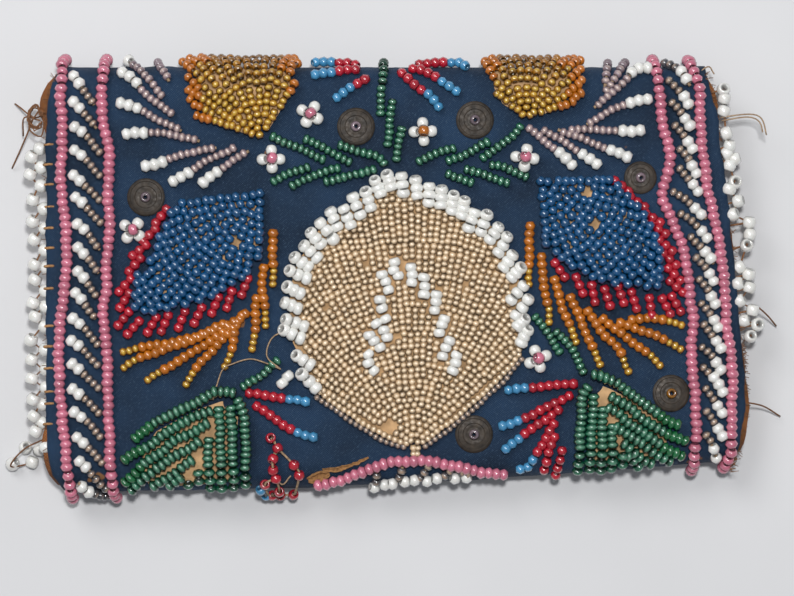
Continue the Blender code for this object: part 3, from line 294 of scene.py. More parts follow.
# Which of those red beads stand on end, and the order in which the threads run through them
STANDING_REDS = (0, 5, 6)
BROKEN_ORDER = [[0, 1, 2, 3, 4, 6, 11], [1, 7, 8, 9, 10], [11, 5, 4]]
BROKEN_SKIES = [(-29.0, -45.8), (-28.0, -48.0)]
FALLEN_LIFT = 1.6
BROKEN_THREAD = 0.5
EDGING_THREAD = 0.45
FRAYED_FIBRE = 0.14
PAPER_SHEET = 0.16
# Each loose thread on the cotton: its line and its lift
LOOSE_THREADS = [
    ([(-39.1, -26.2), (-37.2, -20.0), (-35.0, -18.5), (-31.0, -17.4), (-27.1, -18.5), (-24.5, -19.6)], 1.6),
    ([(-24.5, -19.6), (-27.5, -16.8), (-26.4, -12.9), (-23.4, -11.8), (-20.2, -14.2)], 1.8),
    ([(-26.7, -33.4), (-25.6, -36.0), (-26.4, -40.0), (-24.4, -43.6), (-22.4, -42.0)], 1.4),
    ([(70.2, 34.6), (76.2, 35.3), (79.0, 34.3), (80.0, 30.8)], -0.4),
    ([(70.4, 33.9), (76.0, 34.7), (78.6, 33.6), (79.2, 31.4)], -0.6),
    ([(66.0, 45.0), (68.0, 46.4), (68.8, 44.0)], 0.2)]
# Thread ends past the edges, as x, y and height
EDGE_ENDS = [
    [(-74.5, 36.5, 10.4), (-78.0, 34.8, 9.0), (-82.0, 37.4, 5.0), (-83.2, 38.2, 1.0)],
    [(-78.0, 34.8, 9.4), (-80.5, 30.0, 5.0), (-83.9, 24.1, 0.6)],
    [(-77.0, 36.0, 9.6), (-79.0, 32.4, 8.0), (-76.4, 30.6, 8.6), (-75.6, 34.4, 9.8)],
    [(-76.6, 34.0, 9.6), (-80.4, 34.8, 7.0), (-81.0, 31.0, 4.0)],
    [(78.6, -6.4, 9.4), (81.0, -8.2, 6.0), (83.3, -10.4, 2.0)],
    [(75.6, -26.8, 9.4), (80.0, -27.8, 5.0), (84.3, -30.2, 1.0)],
    [(-75.4, -34.6, 9.4), (-80.6, -37.2, 3.0), (-83.8, -41.0, 1.6), (-79.2, -40.4, 1.2)]]
TANGLE = (-77.6, 34.6, 9.4)
# Where each side's edge is frayed: from y, to y, and how many fibres
FRAYED_LEFT = [(-45, 44, 60), (33, 44, 90)]
FRAYED_RIGHT = [(-42, -14, 220), (-14, 12, 50), (30, 44, 70)]
BARE_PAPER = [(-0.9, -31.6)]
# Each curl of old paper: its line and its width
TORN_PAPER = [([(-18.8, -43.4), (-16.6, -42.4), (-14.2, -41.8)], 2.7),
              ([(-15.6, -41.2), (-12.2, -41.0), (-9.4, -40.2)], 1.3),
              ([(-10.8, -40.7), (-8.0, -39.7), (-5.7, -38.6)], 0.8)]

COLOURS = {
    "cloth": ("Cotton", (0.015, 0.044, 0.098)),
    "lining": ("Lining", (0.36, 0.13, 0.04)),
    "paper": ("Paper pattern", (0.58, 0.36, 0.18)),
    "thread": ("Thread", (0.38, 0.26, 0.16)),
    "pink": ("Pink beads", (0.63, 0.18, 0.27)),
    "white": ("White beads", (0.86, 0.86, 0.83)),
    "clear": ("Clear beads", (0.085, 0.09, 0.105)),
    "lavender": ("Lavender beads", (0.27, 0.20, 0.235)),
    "beige": ("Gold-lined beads", (0.39, 0.265, 0.15)),
    "amber": ("Amber beads", (0.31, 0.125, 0.006)),
    "orange": ("Orange beads", (0.50, 0.145, 0.002)),
    "blue": ("Blue beads", (0.0008, 0.07, 0.195)),
    "sky": ("Light blue beads", (0.06, 0.29, 0.54)),
    "red": ("Red beads", (0.46, 0.008, 0.025)),
    "green": ("Green beads", (0.002, 0.062, 0.031)),
    "forest": ("Dark green beads", (0.008, 0.13, 0.04)),
    "brass": ("Tarnished brass", (0.024, 0.0175, 0.012)),
    "floor": ("Floor", (0.70, 0.70, 0.71)),
}
BROWN_THREAD = (0.22, 0.10, 0.045)
SEWING_TAN = (0.42, 0.22, 0.09)
TORN_BROWN = (0.34, 0.17, 0.06)
# Pale fleck colour of the cotton: partly worn fibres, partly painted glints of the twill.
WEAR_AND_GLINT_COTTON = (0.06, 0.11, 0.18)
WORN_LINING = (0.42, 0.22, 0.10)
BROWN_SPOT = (0.25, 0.12, 0.05)
SLOTS = {"cloth": "navy_cotton", "lining": "brown_lining", "paper": "tan_paper",
         "thread": "tan_thread", "pink": "pink_glass", "white": "white_glass",
         "clear": "clear_glass", "lavender": "lavender_glass", "beige": "beige_glass",
         "amber": "amber_glass", "orange": "orange_glass", "blue": "blue_glass",
         "sky": "sky_glass", "red": "red_glass", "green": "green_glass",
         "forest": "green_glass", "brass": "tarnished_brass"}
BEAD_SIZES = {  # across, and from one bead to the next on its thread
    "pink": (2.75, 1.63), "white": (2.8, 1.87), "edge": (3.05, 2.45), "clear": (2.15, 1.4),
    "lavender": (2.05, 1.34), "beige": (1.56, 1.27), "amber": (1.95, 1.38), "orange": (2.4, 1.65),
    "blue": (2.3, 1.68), "red": (2.35, 1.75), "sky": (2.3, 1.75), "green": (2.3, 1.3), "leaf": (2.75, 1.32),
}


# Places on the bag

def between(table, value):
    """The second number of a table of pairs at this first number, in straight runs."""
    if value <= table[0][0]:
        return table[0][1]
    for (a, at_a), (b, at_b) in zip(table, table[1:]):
        if value <= b:
            return at_a + (at_b - at_a) * (value - a) / (b - a)
    return table[-1][1]


def bottom_edge(x):
    return -44.6 + 0.0462 * x + 0.000323 * x * x


def flap(x, y, lift):
    """The place of a flap point in metres, lift above the cloth; past a fold y goes round it."""
    top = TOP_EDGE - FOLD_RADIUS
    bottom = bottom_edge(x) + FOLD_RADIUS
    reach = FOLD_RADIUS + lift
    if y > top:
        turn = (y - top) / FOLD_RADIUS
        return Vector((x, top + reach * math.sin(turn), FOLD_RADIUS + reach * math.cos(turn))) * MM
    if y < bottom:
        turn = (bottom - y) / FOLD_RADIUS
        return Vector((x, bottom - reach * math.sin(turn), FOLD_RADIUS + reach * math.cos(turn))) * MM
    return Vector((x, y, HEIGHT + lift)) * MM


def round_fold(x, y, lift):
    """How far round the bottom fold a place lies that is seen from above at x and y."""
    bottom = bottom_edge(x) + FOLD_RADIUS
    if y > bottom:
        return y
    return bottom - FOLD_RADIUS * math.asin(min(1.0, (bottom - y) / (FOLD_RADIUS + lift)))


def seen_place(x, y, lift):
    return flap(x, round_fold(x, y, lift), lift)


def flap_up(x, y):
    return (flap(x, y, 1.0) - flap(x, y, 0.0)).normalized()


def length_of(line):
    return sum(math.dist(a, b) for a, b in zip(line, line[1:]))


def place_on(line, at):
    """The point and heading at this distance along a line of straight runs."""
    for a, b in zip(line, line[1:]):
        run = math.dist(a, b)
        if at <= run or b == line[-1]:
            share = at / run if run else 0.0
            heading = math.atan2(b[1] - a[1], b[0] - a[0])
            return (a[0] + (b[0] - a[0]) * share, a[1] + (b[1] - a[1]) * share), heading
        at -= run
    return line[-1], 0.0


def eased(points, step=0.6):
    """A smooth line through these points, in short runs."""
    if len(points) == 2:
        return list(points)
    first = tuple(2 * a - b for a, b in zip(points[0], points[1]))
    last = tuple(2 * a - b for a, b in zip(points[-1], points[-2]))
    line = [first, *points, last]
    path = []
    for p0, p1, p2, p3 in zip(line, line[1:], line[2:], line[3:]):
        count = max(1, math.ceil(math.dist(p1, p2) / step))
        for k in range(count):
            t = k / count
            path.append(tuple(
                0.5 * (2 * b + (c - a) * t + (2 * a - 5 * b + 4 * c - d) * t * t
                       + (3 * b - a - 3 * c + d) * t ** 3)
                for a, b, c, d in zip(p0, p1, p2, p3)))
    path.append(tuple(points[-1]))
    return path


# Stringing beads

def lay_bead(x, y, heading, size, length, chance, bed=0.0, tilt=0.09):
    """A bead lying on the flap with its hole along the heading."""
    lift = bed + size / 2 + 0.08 + chance.uniform(-0.04, 0.06)
    centre = flap(x, y, lift)
    ahead = flap(x + 0.4 * math.cos(heading), y + 0.4 * math.sin(heading), lift)
    axis = (ahead - centre).normalized() + flap_up(x, y) * chance.uniform(-tilt, tilt)
    return Bead(centre, axis.normalized(), size, length, chance.random())


def stand_bead(x, y, size, length, chance, bed=0.0, lean=0.25):
    """A bead whose hole faces up from the flap, leaning a little."""
    axis = flap_up(x, y) + Vector((chance.uniform(-lean, lean), chance.uniform(-lean, lean), 0))
    return Bead(flap(x, y, bed + length / 2 + 0.1), axis.normalized(), size, length, chance.random())


def strand(points, runs, chance, bed=0.0, wander=0.1):
    """Beads along a line: each run is (tray, kind, count), and a count of None fills the rest."""
    path = eased(points)
    total = length_of(path)
    fixed = sum(BEAD_SIZES[kind][1] * count for _, kind, count in runs if count is not None)
    laid = defaultdict(list)
    phase = chance.uniform(0, 6)
    at = 0.0
    for tray, kind, count in runs:
        size, pitch = BEAD_SIZES[kind]
        if count is None:
            count = max(0, round((total - fixed) / pitch))
        for _ in range(count):
            (x, y), heading = place_on(path, at + pitch / 2)
            side = wander * math.sin(phase + 0.8 * at) + chance.uniform(-0.07, 0.07)
            x -= math.sin(heading) * side
            y += math.cos(heading) * side
            own = chance.uniform(0.94, 1.06)
            laid[tray].append(lay_bead(x, y, heading + chance.uniform(-0.12, 0.12), size * own,
                                       pitch * chance.uniform(0.97, 1.1), chance, bed))
            at += pitch
    return laid


def gather(trays, laid):
    for tray, beads in laid.items():
        trays[tray] += beads


def strands(lists, runs, chance, bed=0.0):
    """Several strands; runs is one list for all, or a list of them, one for each strand."""
    trays = defaultdict(list)
    for number, points in enumerate(lists):
        own = runs[number] if isinstance(runs[0], list) else runs
        gather(trays, strand(points, own, chance, bed))
    return trays


def seen_from(corner, outline):
    """Which way the outline lies from a corner, and pairs of direction and distance round it."""
    border = eased(outline)
    middle = border[len(border) // 2]
    facing = math.atan2(middle[1] - corner[1], middle[0] - corner[0])
    pairs = []
    for x, y in border:
        turn = math.atan2(y - corner[1], x - corner[0]) - facing
        pairs.append(((turn + math.pi) % (2 * math.pi) - math.pi, math.dist((x, y), corner)))
    return facing, sorted(pairs)


CROWDED = 1.3
PUSH = 0.12
LONGEST_MOVE = 0.2


def even_out(spots, ways, held, gap, pitch, rounds):
    """Moves crowded beads apart, and so into the bare places between the rows."""
    spots = np.array(spots)
    along = np.array([(math.cos(way), math.sin(way)) for way in ways])
    free = np.array([0.0 if still else 1.0 for still in held])
    for _ in range(rounds):
        apart = spots[:, None] - spots[None]
        lengthwise = apart[..., 0] * along[:, None, 0] + apart[..., 1] * along[:, None, 1]
        sideways = apart[..., 1] * along[:, None, 0] - apart[..., 0] * along[:, None, 1]
        near = np.hypot(lengthwise / pitch, sideways / gap)
        np.fill_diagonal(near, 9.0)
        push = np.clip(CROWDED - near, 0.0, None) / np.maximum(near, 0.3)
        move = (apart * push[..., None]).sum(axis=1) * PUSH * free[:, None]
        far = np.maximum(np.hypot(move[:, 0], move[:, 1]) / LONGEST_MOVE, 1.0)
        spots = spots + move / far[:, None]
    return spots


def fill(corner, outline, kind, gap, spread, chance, bed, start=0.8, keep_off=(), losses=0.0,
         rounds=10):
    """Rows of beads that spread from a corner to the outline; more rows join in as it widens.

    Rows begin at start from the corner, and crowded beads are moved apart this many rounds. Beads
    under the places in keep_off are left out, and losses is the share of beads that are missing.
    Gives for each bead: the bead, how many places it lies in from the outline, and the point where
    its row meets the outline.
    """
    size, pitch = BEAD_SIZES[kind]
    facing, seen = seen_from(corner, outline)
    first, last = seen[0][0], seen[-1][0]
    spots, ways, steps, held, ends = [], [], [], [], []
    ring = start
    while ring < max(distance for _, distance in seen):
        band = max(1, round(spread * ring / pitch)) * pitch
        count = max(1, round((last - first) * (ring + band / 2) / gap))
        for row in range(count):
            turn = first + (last - first) * (row + 0.5 + chance.uniform(-0.08, 0.08)) / count
            reach = between(seen, turn) - 0.25 * size
            room = min(reach, ring + band) - ring
            beads = round(room / pitch + 0.15)
            slip = chance.uniform(-0.18, 0.18)
            for place in range(beads):
                at = ring + room * (place + 0.5 + slip) / beads
                way = facing + turn
                spots.append((corner[0] + at * math.cos(way), corner[1] + at * math.sin(way)))
                ways.append(way)
                steps.append((reach - at) / pitch)
                held.append(reach - at < pitch or row in (0, count - 1))
                ends.append((corner[0] + reach * math.cos(way), corner[1] + reach * math.sin(way)))
        ring += band
    laid = []
    for (x, y), way, step, end in zip(even_out(spots, ways, held, gap, pitch, rounds), ways, steps, ends):
        x += chance.uniform(-0.06, 0.06) * gap
        y += chance.uniform(-0.06, 0.06) * gap
        covered = any(math.dist((x, y), spot) < 0.5 * size + 0.68 for spot in keep_off)
        if covered or chance.random() < losses:
            continue
        bead = lay_bead(x, y, way + chance.uniform(-0.16, 0.16), size * chance.uniform(0.92, 1.07),
                        pitch * chance.uniform(0.94, 1.08), chance, bed, 0.16)
        laid.append((bead, step, end))
    return laid


BEAD_WALL = 0.18
BEAD_BELLY = 0.55


def model_bead(around, across):
    """One seed bead, one across and one long: a ring drawn out along its hole and rounded off."""
    bpy.ops.object.select_all(action="DESELECT")
    bpy.ops.mesh.primitive_torus_add(major_segments=around, minor_segments=across,
                                     major_radius=0.5 - BEAD_WALL, minor_radius=BEAD_WALL)
    ring = bpy.context.object
    bpy.ops.object.mode_set(mode="EDIT")
    bpy.ops.mesh.select_all(action="SELECT")
    bpy.ops.transform.resize(value=(1, 1, 0.5 / BEAD_WALL))
    bpy.ops.object.mode_set(mode="OBJECT")
    corners = np.array([v.co for v in ring.data.vertices])
    faces = np.array([list(p.vertices) for p in ring.data.polygons])
    bpy.data.objects.remove(ring, do_unlink=True)
    corners[:, 2] *= 0.5 / corners[:, 2].max()
    around_it = np.hypot(corners[:, 0], corners[:, 1])
    rounded = 0.5 * np.sqrt(1 - BEAD_BELLY * np.square(2 * corners[:, 2]))
    drawn_in = np.where(around_it > 0.5 - BEAD_WALL, rounded / around_it, 1.0)
    corners[:, :2] *= drawn_in[:, None]
    around_it *= drawn_in
    inward = np.clip((0.5 - around_it) / (2 * BEAD_WALL), 0, 1)
    return corners, faces, inward


def thread_beads(name, beads, tray, nodes, template):
    """One piece from all these beads, each a copy of the modelled one at its own size."""
    corners, faces, inward = template
    outward = corners * np.array([1, 1, 0])
    outward /= np.linalg.norm(outward, axis=1)[:, None]
    # Painted lit core: a light band along the upward side of each bead, away from its ends and hole, where
    # see-through beads show their lining as if lit through the glass.
    middling = np.clip(1.3 - 2.4 * np.abs(corners[:, 2]), 0, 1)
    places, lights = [], []
    for bead in beads:
        turn = bead.axis.to_track_quat("Z", "Y").to_matrix()
        turn = turn @ Matrix.Rotation(bead.tone * 6.28, 3, "Z")
        shape = corners * np.array([bead.size, bead.size, bead.length]) * MM
        places.append(shape @ np.array(turn).T + np.array(bead.centre))
        upward = (outward @ np.array(turn).T)[:, 2]
        lights.append(np.clip((upward - 0.45) / 0.5, 0, 1) * middling * (1 - inward))
    count = len(corners)
    mesh = bpy.data.meshes.new(name)
    every = np.concatenate([faces + count * n for n in range(len(beads))])
    mesh.from_pydata(np.concatenate(places).tolist(), [], every.tolist())
    tones = mesh.attributes.new("tone", "FLOAT", "POINT")
    tones.data.foreach_set("value", np.repeat([b.tone for b in beads], count).astype(np.float32))
    holes = mesh.attributes.new("hole", "FLOAT", "POINT")
    holes.data.foreach_set("value", np.tile(inward, len(beads)).astype(np.float32))
    # The painted lit core, as a mask on each bead.
    cores = mesh.attributes.new("core", "FLOAT", "POINT")
    cores.data.foreach_set("value", np.concatenate(lights).astype(np.float32))
    mesh.polygons.foreach_set("use_smooth", [True] * len(mesh.polygons))
    piece = bpy.data.objects.new(name, mesh)
    bpy.context.scene.collection.objects.link(piece)
    mesh.materials.append(bead_glass(tray))
    settle(piece, tray, nodes)
    return piece


def settle(piece, tray, nodes=()):
    """The piece rides with the bag and stands for its solids, which it hides."""
    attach(piece, "root")
    SLOTS[tray]
    if nodes:
        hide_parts(*nodes)


def core_threads(name, lists, kind):
    """The thread that shows inside clear strands: one piece for all these lines."""
    lift = BEAD_SIZES[kind][0] / 2 + 0.08
    lines = [[flap(x, y, lift) for x, y in eased(points, 1.0)] for points in lists]
    material = thread_finish("spun_tan", colour("thread"))
    return tubes(name, lines, 0.7, 6, material, "thread")


def string_up(trays, names, nodes, template):
    """One piece for each tray: names give each tray's piece, and all stand for the nodes."""
    for tray, beads in trays.items():
        if beads:
            thread_beads(names[tray], beads, tray, nodes, template)


# Finishes

def colour(name):
    return getattr(bpy.context.scene.bag_colours, name)


def new_finish(name):
    material = bpy.data.materials.new(name)
    material.use_nodes = True
    nodes = material.node_tree.nodes
    return material, nodes, material.node_tree.links, nodes["Principled BSDF"]


def shade(tint, share):
    return (*[c * share for c in tint], 1.0)


def attribute_ramp(nodes, links, name, stops):
    """A colour ramp that reads one of the mesh's own attributes."""
    reader = nodes.new("ShaderNodeAttribute")
    reader.attribute_name = name
    ramp = nodes.new("ShaderNodeValToRGB")
    ramp.color_ramp.elements[0].position = stops[0][0]
    ramp.color_ramp.elements[0].color = stops[0][1]
    ramp.color_ramp.elements[1].position = stops[-1][0]
    ramp.color_ramp.elements[1].color = stops[-1][1]
    for place, value in stops[1:-1]:
        ramp.color_ramp.elements.new(place).color = value
    links.new(reader.outputs["Fac"], ramp.inputs["Fac"])
    return ramp.outputs["Color"]


def mixed(nodes, links, kind, amount, first, second):
    mix = nodes.new("ShaderNodeMix")
    mix.data_type = "RGBA"
    mix.blend_type = kind
    if isinstance(amount, float):
        mix.inputs[0].default_value = amount
    else:
        links.new(amount, mix.inputs[0])
    for socket, value in ((mix.inputs[6], first), (mix.inputs[7], second)):
        if isinstance(value, tuple):
            socket.default_value = value
        else:
            links.new(value, socket)
    return mix.outputs[2]


def speckle(nodes, links, scale, detail=2.0, source="Object", drawn_out=1.0, turn=0.0):
    """Soft specks; drawn_out makes them that many times longer along the turned direction."""
    where = nodes.new("ShaderNodeTexCoord")
    mapping = nodes.new("ShaderNodeMapping")
    mapping.vector_type = "TEXTURE"
    mapping.inputs["Rotation"].default_value = (0, 0, turn)
    mapping.inputs["Scale"].default_value = (drawn_out, 1, 1)
    grain = nodes.new("ShaderNodeTexNoise")
    grain.inputs["Scale"].default_value = scale
    grain.inputs["Detail"].default_value = detail
    links.new(where.outputs[source], mapping.inputs["Vector"])
    links.new(mapping.outputs["Vector"], grain.inputs["Vector"])
    return grain.outputs["Fac"]


def narrowed(nodes, links, value, low, high, to_low=0.0, to_high=1.0):
    span = nodes.new("ShaderNodeMapRange")
    span.inputs["From Min"].default_value = low
    span.inputs["From Max"].default_value = high
    span.inputs["To Min"].default_value = to_low
    span.inputs["To Max"].default_value = to_high
    links.new(value, span.inputs["Value"])
    return span.outputs["Result"]


def bumped(nodes, links, shader, height, strength, distance):
    bump = nodes.new("ShaderNodeBump")
    bump.inputs["Strength"].default_value = strength
    bump.inputs["Distance"].default_value = distance
    links.new(height, bump.inputs["Height"])
    links.new(bump.outputs["Normal"], shader.inputs["Normal"])


PHOTO_WIDTH = 794
MM_PER_PIXEL = 0.215
CAMERA_OVER = (0.43, -4.3)
ROOM_LIGHT = 0.24
# Each lamp's place and size in metres, and its watts
LAMPS = [("window", (-0.35, 0.45, 0.75), 0.45, 2.9), ("flash", (0.02, 0.09, 0.7), 0.05, 2.9)]

# For the see-through kinds the lightest tones also stand in for glints: painted highlights on some beads.
GLASS = {  # roughness, see-through share, darkest and lightest tone, how dark the painted shade at its hole end is
    "pink": (0.26, 0.0, 0.85, 1.1, 0.35), "white": (0.24, 0.0, 0.95, 1.04, 0.42),
    "clear": (0.16, 0.3, 0.7, 1.5, 0.5), "lavender": (0.18, 0.2, 0.75, 1.4, 0.45),
    "beige": (0.2, 0.0, 0.55, 1.6, 0.35), "amber": (0.16, 0.15, 0.6, 1.5, 0.3),
    "orange": (0.26, 0.0, 0.85, 1.12, 0.35), "blue": (0.24, 0.0, 0.85, 1.15, 0.35),
    "sky": (0.24, 0.0, 0.9, 1.1, 0.4), "red": (0.24, 0.0, 0.8, 1.12, 0.3),
    "green": (0.14, 0.2, 0.6, 1.8, 0.3), "forest": (0.24, 0.0, 0.85, 1.15, 0.3),
}
CORES = {  # the thread or lining that shows through the middle of a see-through bead, painted as a lit core on the bead's upper side
    "clear": (0.68, 0.47, 0.33), "lavender": (0.74, 0.56, 0.50), "beige": (0.95, 0.74, 0.50),
    "amber": (0.82, 0.52, 0.05), "green": (0.11, 0.34, 0.21),
}


def bead_glass(name):
    """Glass for one colour of bead: each bead a little different, with painted shade towards its hole;
    see-through kinds also get a painted lit core on top and painted glints in their lightest tones.
    """
    title = f"{name}_bead_glass"
    if title in bpy.data.materials:
        return bpy.data.materials[title]
    rough, clear, dark, light, hole = GLASS[name]
    material, nodes, links, shader = new_finish(title)
    tint = colour(name)
    # Each bead's own tone, at random; for the see-through kinds the lightest tones are partly painted
    # glints.
    tones = attribute_ramp(nodes, links, "tone", [
        (0.0, shade(tint, dark)), (0.5, shade(tint, 1.0)), (1.0, shade(tint, light))])
    # Painted lit core: the lining's colour mixed in on the upper side of each bead, as light seen through
    # the glass.
    if name in CORES:
        lit = attribute_ramp(nodes, links, "core", [
            (0.0, (0, 0, 0, 1)), (0.25, (0.1, 0.1, 0.1, 1)), (0.8, (0.9, 0.9, 0.9, 1))])
        tones = mixed(nodes, links, "MIX", lit, tones, shade(CORES[name], 1.0))
    # Painted shade: each bead grows darker towards and inside its hole.
    painted_hole_shade = attribute_ramp(nodes, links, "hole", [
        (0.0, (1, 1, 1, 1)), (0.42, (0.95, 0.95, 0.95, 1)), (0.8, (hole, hole, hole, 1))])
    shaded = mixed(nodes, links, "MULTIPLY", 1.0, tones, painted_hole_shade)
    grime = narrowed(nodes, links, speckle(nodes, links, 900.0), 0.35, 0.7)
    dulled = mixed(nodes, links, "MULTIPLY", grime, shaded, (0.9, 0.88, 0.85, 1))
    links.new(dulled, shader.inputs["Base Color"])
    links.new(narrowed(nodes, links, speckle(nodes, links, 1500.0), 0.3, 0.75, rough * 0.8,
                       rough + 0.1), shader.inputs["Roughness"])
    shader.inputs["IOR"].default_value = 1.6
    shader.inputs["Transmission Weight"].default_value = clear
    shader.inputs["Coat Weight"].default_value = 1.0
    shader.inputs["Coat IOR"].default_value = 1.6
    shader.inputs["Coat Roughness"].default_value = 0.16
    if not clear:
        shader.inputs["Subsurface Weight"].default_value = 0.12
        shader.inputs["Subsurface Radius"].default_value = (0.0006, 0.0005, 0.0005)
    return material


TWILL_TURN = 0.7
# A wave texture of scale one repeats after this many metres
WAVE_PERIOD = 0.314


def cotton(name, tint, weave, wear_and_glint, worn_share):
    """Woven cloth on the strip's own unrolled map: twill with painted shade between its threads, fading,
    pale flecks that are partly worn fibres and partly painted glints, and brown spots.
    """
    if name in bpy.data.materials:
        return bpy.data.materials[name]
    material, nodes, links, shader = new_finish(name)
    where = nodes.new("ShaderNodeTexCoord")
    heights = []
    for turn in (TWILL_TURN, TWILL_TURN + math.pi / 2):
        mapping = nodes.new("ShaderNodeMapping")
        mapping.inputs["Rotation"].default_value = (0, 0, turn)
        links.new(where.outputs["UV"], mapping.inputs["Vector"])
        wave = nodes.new("ShaderNodeTexWave")
        wave.inputs["Scale"].default_value = weave
        wave.inputs["Distortion"].default_value = 1.6
        wave.inputs["Detail"].default_value = 1.0
        wave.inputs["Detail Scale"].default_value = 0.4
        links.new(mapping.outputs["Vector"], wave.inputs["Vector"])
        heights.append(wave.outputs["Fac"])
    threads = nodes.new("ShaderNodeMath")
    threads.operation = "MULTIPLY"
    links.new(heights[0], threads.inputs[0])
    links.new(heights[1], threads.inputs[1])
    broad = narrowed(nodes, links, speckle(nodes, links, 55.0, 4.0, "UV"), 0.34, 0.68)
    faded = mixed(nodes, links, "MIX", broad, shade(tint, 0.55), shade(tint, 1.3))
    # Pale flecks drawn out along the twill: partly worn fibres, partly painted glints of the twill.
    fine = narrowed(nodes, links, speckle(nodes, links, 3200.0, 2.0, "UV", 2.0, 0.8), 0.54, 0.82)
    fibres = mixed(nodes, links, "MIX", fine, faded, shade(wear_and_glint, 1.0))
    # Painted shade and highlight: the weave's low places darker, its raised threads lighter.
    painted_weave_shade = narrowed(nodes, links, threads.outputs["Value"], 0.0, 0.6, 0.5, 1.2)
    cloth = mixed(nodes, links, "MULTIPLY", 1.0, fibres, painted_weave_shade)
    patches = narrowed(nodes, links, speckle(nodes, links, 130.0, 2.0, "UV"), 1.0 - worn_share,
                       1.02 - worn_share)
    links.new(mixed(nodes, links, "MIX", patches, cloth, shade(BROWN_SPOT, 1.0)),
              shader.inputs["Base Color"])
    shader.inputs["Roughness"].default_value = 0.7
    shader.inputs["Specular IOR Level"].default_value = 0.22
    shader.inputs["Sheen Weight"].default_value = 0.04
    bumped(nodes, links, shader, threads.outputs["Value"], 0.55, 0.0002)
    return material


def paper_finish():
    """Old brown paper: fibres, stains and a soft grain."""
    if "paper_pattern" in bpy.data.materials:
        return bpy.data.materials["paper_pattern"]
    material, nodes, links, shader = new_finish("paper_pattern")
    tint = colour("paper")
    stain = narrowed(nodes, links, speckle(nodes, links, 300.0, 4.0), 0.3, 0.7)
    links.new(mixed(nodes, links, "MIX", stain, shade(tint, 0.6), shade(tint, 1.25)),
              shader.inputs["Base Color"])
    shader.inputs["Roughness"].default_value = 0.9
    bumped(nodes, links, shader, speckle(nodes, links, 2500.0, 3.0), 0.4, 0.0001)
    return material


def thread_finish(name, tint):
    """Spun thread or old paper fibre: lighter and darker flecks with a soft grain."""
    if name in bpy.data.materials:
        return bpy.data.materials[name]
    material, nodes, links, shader = new_finish(name)
    ply = narrowed(nodes, links, speckle(nodes, links, 2200.0, 2.0), 0.3, 0.7)
    links.new(mixed(nodes, links, "MIX", ply, shade(tint, 0.55), shade(tint, 1.3)),
              shader.inputs["Base Color"])
    shader.inputs["Roughness"].default_value = 0.85
    bumped(nodes, links, shader, ply, 0.4, 0.00008)
    return material


def brass_finish():
    """Brass gone dark: brown and grey patches, duller and shinier places."""
    if "dull_brass" in bpy.data.materials:
        return bpy.data.materials["dull_brass"]
    material, nodes, links, shader = new_finish("dull_brass")
    tint = colour("brass")
    patches = narrowed(nodes, links, speckle(nodes, links, 700.0, 4.0), 0.35, 0.7)
    links.new(mixed(nodes, links, "MIX", patches, shade(tint, 0.75), shade(tint, 2.2)),
              shader.inputs["Base Color"])
    links.new(narrowed(nodes, links, speckle(nodes, links, 1600.0, 3.0), 0.3, 0.7, 0.45, 0.7),
              shader.inputs["Roughness"])
    shader.inputs["Metallic"].default_value = 0.25
    bumped(nodes, links, shader, speckle(nodes, links, 2600.0, 2.0), 0.3, 0.00006)
    return material


# Cloth

def strip_path(x, inset, rounds, face):
    """The folded strip's section at x as (y, z), with its distance along the strip."""
    bottom = bottom_edge(x) + FOLD_RADIUS
    top = TOP_EDGE - FOLD_RADIUS
    outer = FOLD_RADIUS - inset
    inner = INNER_FOLD_RADIUS - inset
    middle = STEP_HEIGHT + INNER_FOLD_RADIUS
    path = []

    def straight(start, end, count, last=False):
        for k in range(count + (1 if last else 0)):
            share = k / count
            path.append((start[0] + (end[0] - start[0]) * share,
                         start[1] + (end[1] - start[1]) * share))

    straight((TONGUE_END, inset), (bottom, inset), 6)
    for k in range(rounds):
        turn = math.pi * k / rounds
        path.append((bottom - outer * math.sin(turn), FOLD_RADIUS - outer * math.cos(turn)))
    straight((bottom, HEIGHT - inset), (top, HEIGHT - inset), face)
    for k in range(rounds):
        turn = math.pi * k / rounds
        path.append((top + outer * math.sin(turn), FOLD_RADIUS + outer * math.cos(turn)))
    straight((top, inset), (STEP_START, inset), 14)
    straight((STEP_START, inset), (STEP_END, STEP_HEIGHT + inset), 2)
    straight((STEP_END, STEP_HEIGHT + inset), (bottom, STEP_HEIGHT + inset), 5)
    for k in range(rounds):
        turn = math.pi * k / rounds
        path.append((bottom - inner * math.sin(turn), middle - inner * math.cos(turn)))
    straight((bottom, middle + inner), (POCKET_MOUTH, middle + inner), 14, True)
    return path


